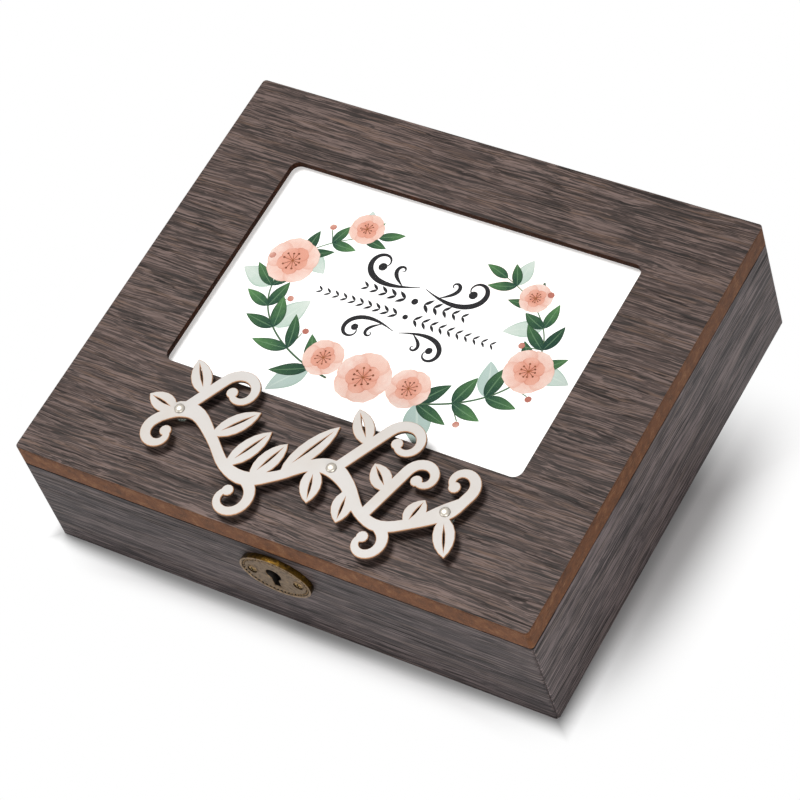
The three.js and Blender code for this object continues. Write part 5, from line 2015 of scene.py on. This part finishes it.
@dataclass
class Studio:
    """A white floor in a white room, a soft lamp high on the left and two low ones for the walls."""

    floor_half: float = 3000.0
    floor_colour: str = "e6e6e6"
    floor_gain: float = 1.42
    half_length: float = 105.0
    half_depth: float = 90.0
    near: float = 1.06
    far: float = 1.55
    front_reach: tuple[float, float] = (91.0, 106.0)
    back_reach: tuple[float, float] = (8.0, 64.0)
    front_gap: tuple[float, float] = (1.0, 1.07)
    back_gap: tuple[float, float] = (0.985, 0.997)
    # The painted shade at the walls, and how far out it reaches.
    painted_contact_shade: float = 0.5
    painted_shade_reach: float = 1.07
    room_light: float = 0.05
    lamps: tuple[Lamp, ...] = (
        Lamp("high_lamp", (-450.0, 150.0, 1430.0), 650.0, 19.0),
        Lamp("front_lamp", (-800.0, -1250.0, 520.0), 900.0, 5.8),
        Lamp("right_lamp", (950.0, -850.0, 380.0), 800.0, 10.2),
    )

    def build(self) -> None:
        """Builds the floor, the room's light and the lamps."""
        bm = bmesh.new()
        bmesh.ops.create_grid(bm, x_segments=1, y_segments=1, size=self.floor_half * MM)
        mesh = bpy.data.meshes.new("floor")
        bm.to_mesh(mesh)
        bm.free()
        mesh.materials.append(self.floor_material())
        floor = bpy.data.objects.new("floor", mesh)
        bpy.context.scene.collection.objects.link(floor)
        self.build_room()
        for lamp in self.lamps:
            lamp.build()
        bpy.context.scene.view_settings.view_transform = "Standard"

    @staticmethod
    def seen(tree: bpy.types.NodeTree):
        """Returns a socket that is 1 for rays from the camera, in a reflection or through glass."""
        path = add_node(tree, "ShaderNodeLightPath")
        both = add_node(
            tree,
            "ShaderNodeMath",
            MAXIMUM,
            {0: path.outputs["Is Camera Ray"], 1: path.outputs["Is Glossy Ray"]},
        ).outputs[0]
        return add_node(
            tree, "ShaderNodeMath", MAXIMUM, {0: both, 1: path.outputs["Is Transmission Ray"]}
        ).outputs[0]

    def floor_material(self) -> bpy.types.Material:
        """Returns a pale floor that keeps the shadows near the box, with painted shade at the walls, and is
        plain white further out.
        """
        material = bpy.data.materials.new("pale_floor")
        material.use_nodes = True
        tree = material.node_tree
        shader = tree.nodes["Principled BSDF"]
        set_inputs(tree, shader, {"Roughness": 1.0, "Specular IOR Level": 0.0})
        seen = self.seen(tree)
        paper = linear(self.floor_colour)
        shown = tuple(self.floor_gain * part for part in paper[:3]) + (1.0,)
        colour = add_node(tree, "ShaderNodeMix", RGBA, {0: seen, 6: paper, 7: shown}).outputs[2]
        place = add_node(tree, "ShaderNodeTexCoord").outputs["Object"]
        reach = (1 / (self.half_length * MM), 1 / (self.half_depth * MM), 0)
        spot = add_node(tree, "ShaderNodeVectorMath", MULTIPLY, {0: place, 1: reach}).outputs[0]
        away = add_node(tree, "ShaderNodeVectorMath", {"operation": "LENGTH"}, {0: spot}).outputs["Value"]
        out = add_node(
            tree, "ShaderNodeMapRange", SMOOTH, {"Value": away, "From Min": self.near, "From Max": self.far}
        ).outputs["Result"]
        # How far out a point is, as a share of the box's half length or half depth.
        parts = add_node(tree, "ShaderNodeSeparateXYZ", {}, {"Vector": spot})
        sides = [
            add_node(tree, "ShaderNodeMath", {"operation": "ABSOLUTE"}, {0: parts.outputs[axis]}).outputs[0]
            for axis in ("X", "Y")
        ]
        side = add_node(tree, "ShaderNodeMath", MAXIMUM, {0: sides[0], 1: sides[1]}).outputs[0]
        # Close to the walls the floor is painted darker, a painted shade, as little light gets there.
        light = add_node(
            tree,
            "ShaderNodeMapRange",
            SMOOTH,
            {"Value": side, "From Min": 1.0, "From Max": self.painted_shade_reach, "To Min": self.painted_contact_shade},
        ).outputs["Result"]
        inputs = {0: colour, 3: light}
        colour = add_node(tree, "ShaderNodeVectorMath", {"operation": "SCALE"}, inputs).outputs[0]
        tree.links.new(colour, shader.inputs["Base Color"])
        # The floor is painted white near the box in front and towards its back, so the shadow there is short
        # or gone.
        depth = add_node(tree, "ShaderNodeSeparateXYZ", {}, {"Vector": place}).outputs["Y"]
        for sign, (start, full), gap in (
            (-MM, self.front_reach, self.front_gap),
            (MM, self.back_reach, self.back_gap),
        ):
            ramp = add_node(
                tree,
                "ShaderNodeMapRange",
                SMOOTH,
                {"Value": depth, "From Min": sign * start, "From Max": sign * full},
            ).outputs["Result"]
            out = add_node(tree, "ShaderNodeMath", MAXIMUM, {0: out, 1: ramp}).outputs[0]
            # Under the box itself the floor stays dark, so no light shows in the box's joints.
            clear = add_node(
                tree, "ShaderNodeMapRange", {}, {"Value": side, "From Min": gap[0], "From Max": gap[1]}
            ).outputs["Result"]
            out = add_node(tree, "ShaderNodeMath", MULTIPLY, {0: out, 1: clear}).outputs[0]
        share = add_node(tree, "ShaderNodeMath", MULTIPLY, {0: out, 1: seen}).outputs[0]
        white = add_node(tree, "ShaderNodeEmission", {}, {"Color": (1, 1, 1, 1)}).outputs[0]
        inputs = {0: share, 1: shader.outputs[0], 2: white}
        both = add_node(tree, "ShaderNodeMixShader", {}, inputs).outputs[0]
        tree.links.new(both, tree.nodes["Material Output"].inputs["Surface"])
        return material

    def build_room(self) -> None:
        """Builds the white room: full white to the camera, softer as light."""
        world = bpy.data.worlds.new("white_room")
        world.use_nodes = True
        tree = world.node_tree
        background = tree.nodes["Background"]
        background.inputs["Color"].default_value = (1, 1, 1, 1)
        strength = add_node(
            tree,
            "ShaderNodeMapRange",
            {},
            {"Value": self.seen(tree), "To Min": self.room_light, "To Max": 1.0},
        ).outputs["Result"]
        tree.links.new(strength, background.inputs["Strength"])
        bpy.context.scene.world = world


@dataclass
class PhotoCamera:
    """The camera of the photograph, written as a place, a direction and a lean."""

    place: Point = (517.4, -497.9, 953.1)
    azimuth: float = 46.378
    elevation: float = 52.428
    lean: float = 21.112
    focal_pixels: float = 3254.4
    frame_pixels: float = 800.0
    sensor: float = 36.0

    def build(self) -> None:
        """Places the camera and makes it the scene's own."""
        turn, rise = math.radians(self.azimuth), math.radians(self.elevation)
        ahead = Vector((-math.sin(turn) * math.cos(rise), math.cos(turn) * math.cos(rise), -math.sin(rise)))
        level = ahead.cross(Vector((0, 0, 1))).normalized()
        over = level.cross(ahead)
        lean = math.radians(self.lean)
        up = over * math.cos(lean) + level * math.sin(lean)
        right = level * math.cos(lean) - over * math.sin(lean)
        turned = Matrix((right, up, -ahead)).transposed().to_4x4()
        data = bpy.data.cameras.new("photo_camera")
        data.sensor_width = self.sensor
        data.lens = self.focal_pixels * self.sensor / self.frame_pixels
        data.clip_start, data.clip_end = 0.05, 20.0
        camera = bpy.data.objects.new("photo_camera", data)
        camera.matrix_world = Matrix.Translation(Vector(self.place) * MM) @ turned
        bpy.context.scene.collection.objects.link(camera)
        bpy.context.scene.camera = camera


def main() -> None:
    """Builds the camera, the studio and each sub-assembly."""
    logging.basicConfig(level=logging.INFO, format="%(name)s: %(message)s")
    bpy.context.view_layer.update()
    PhotoCamera().build()
    Studio().build()
    base = (Carcass(), Lining(), KeyholePlate(), LinkLock(), StopHinges())
    for part in (*base, Lid(), PictureWindow(), Ornament()):
        part.build()
        log.info("finished %s", type(part).__name__)


if __name__ == "__main__":
    main()
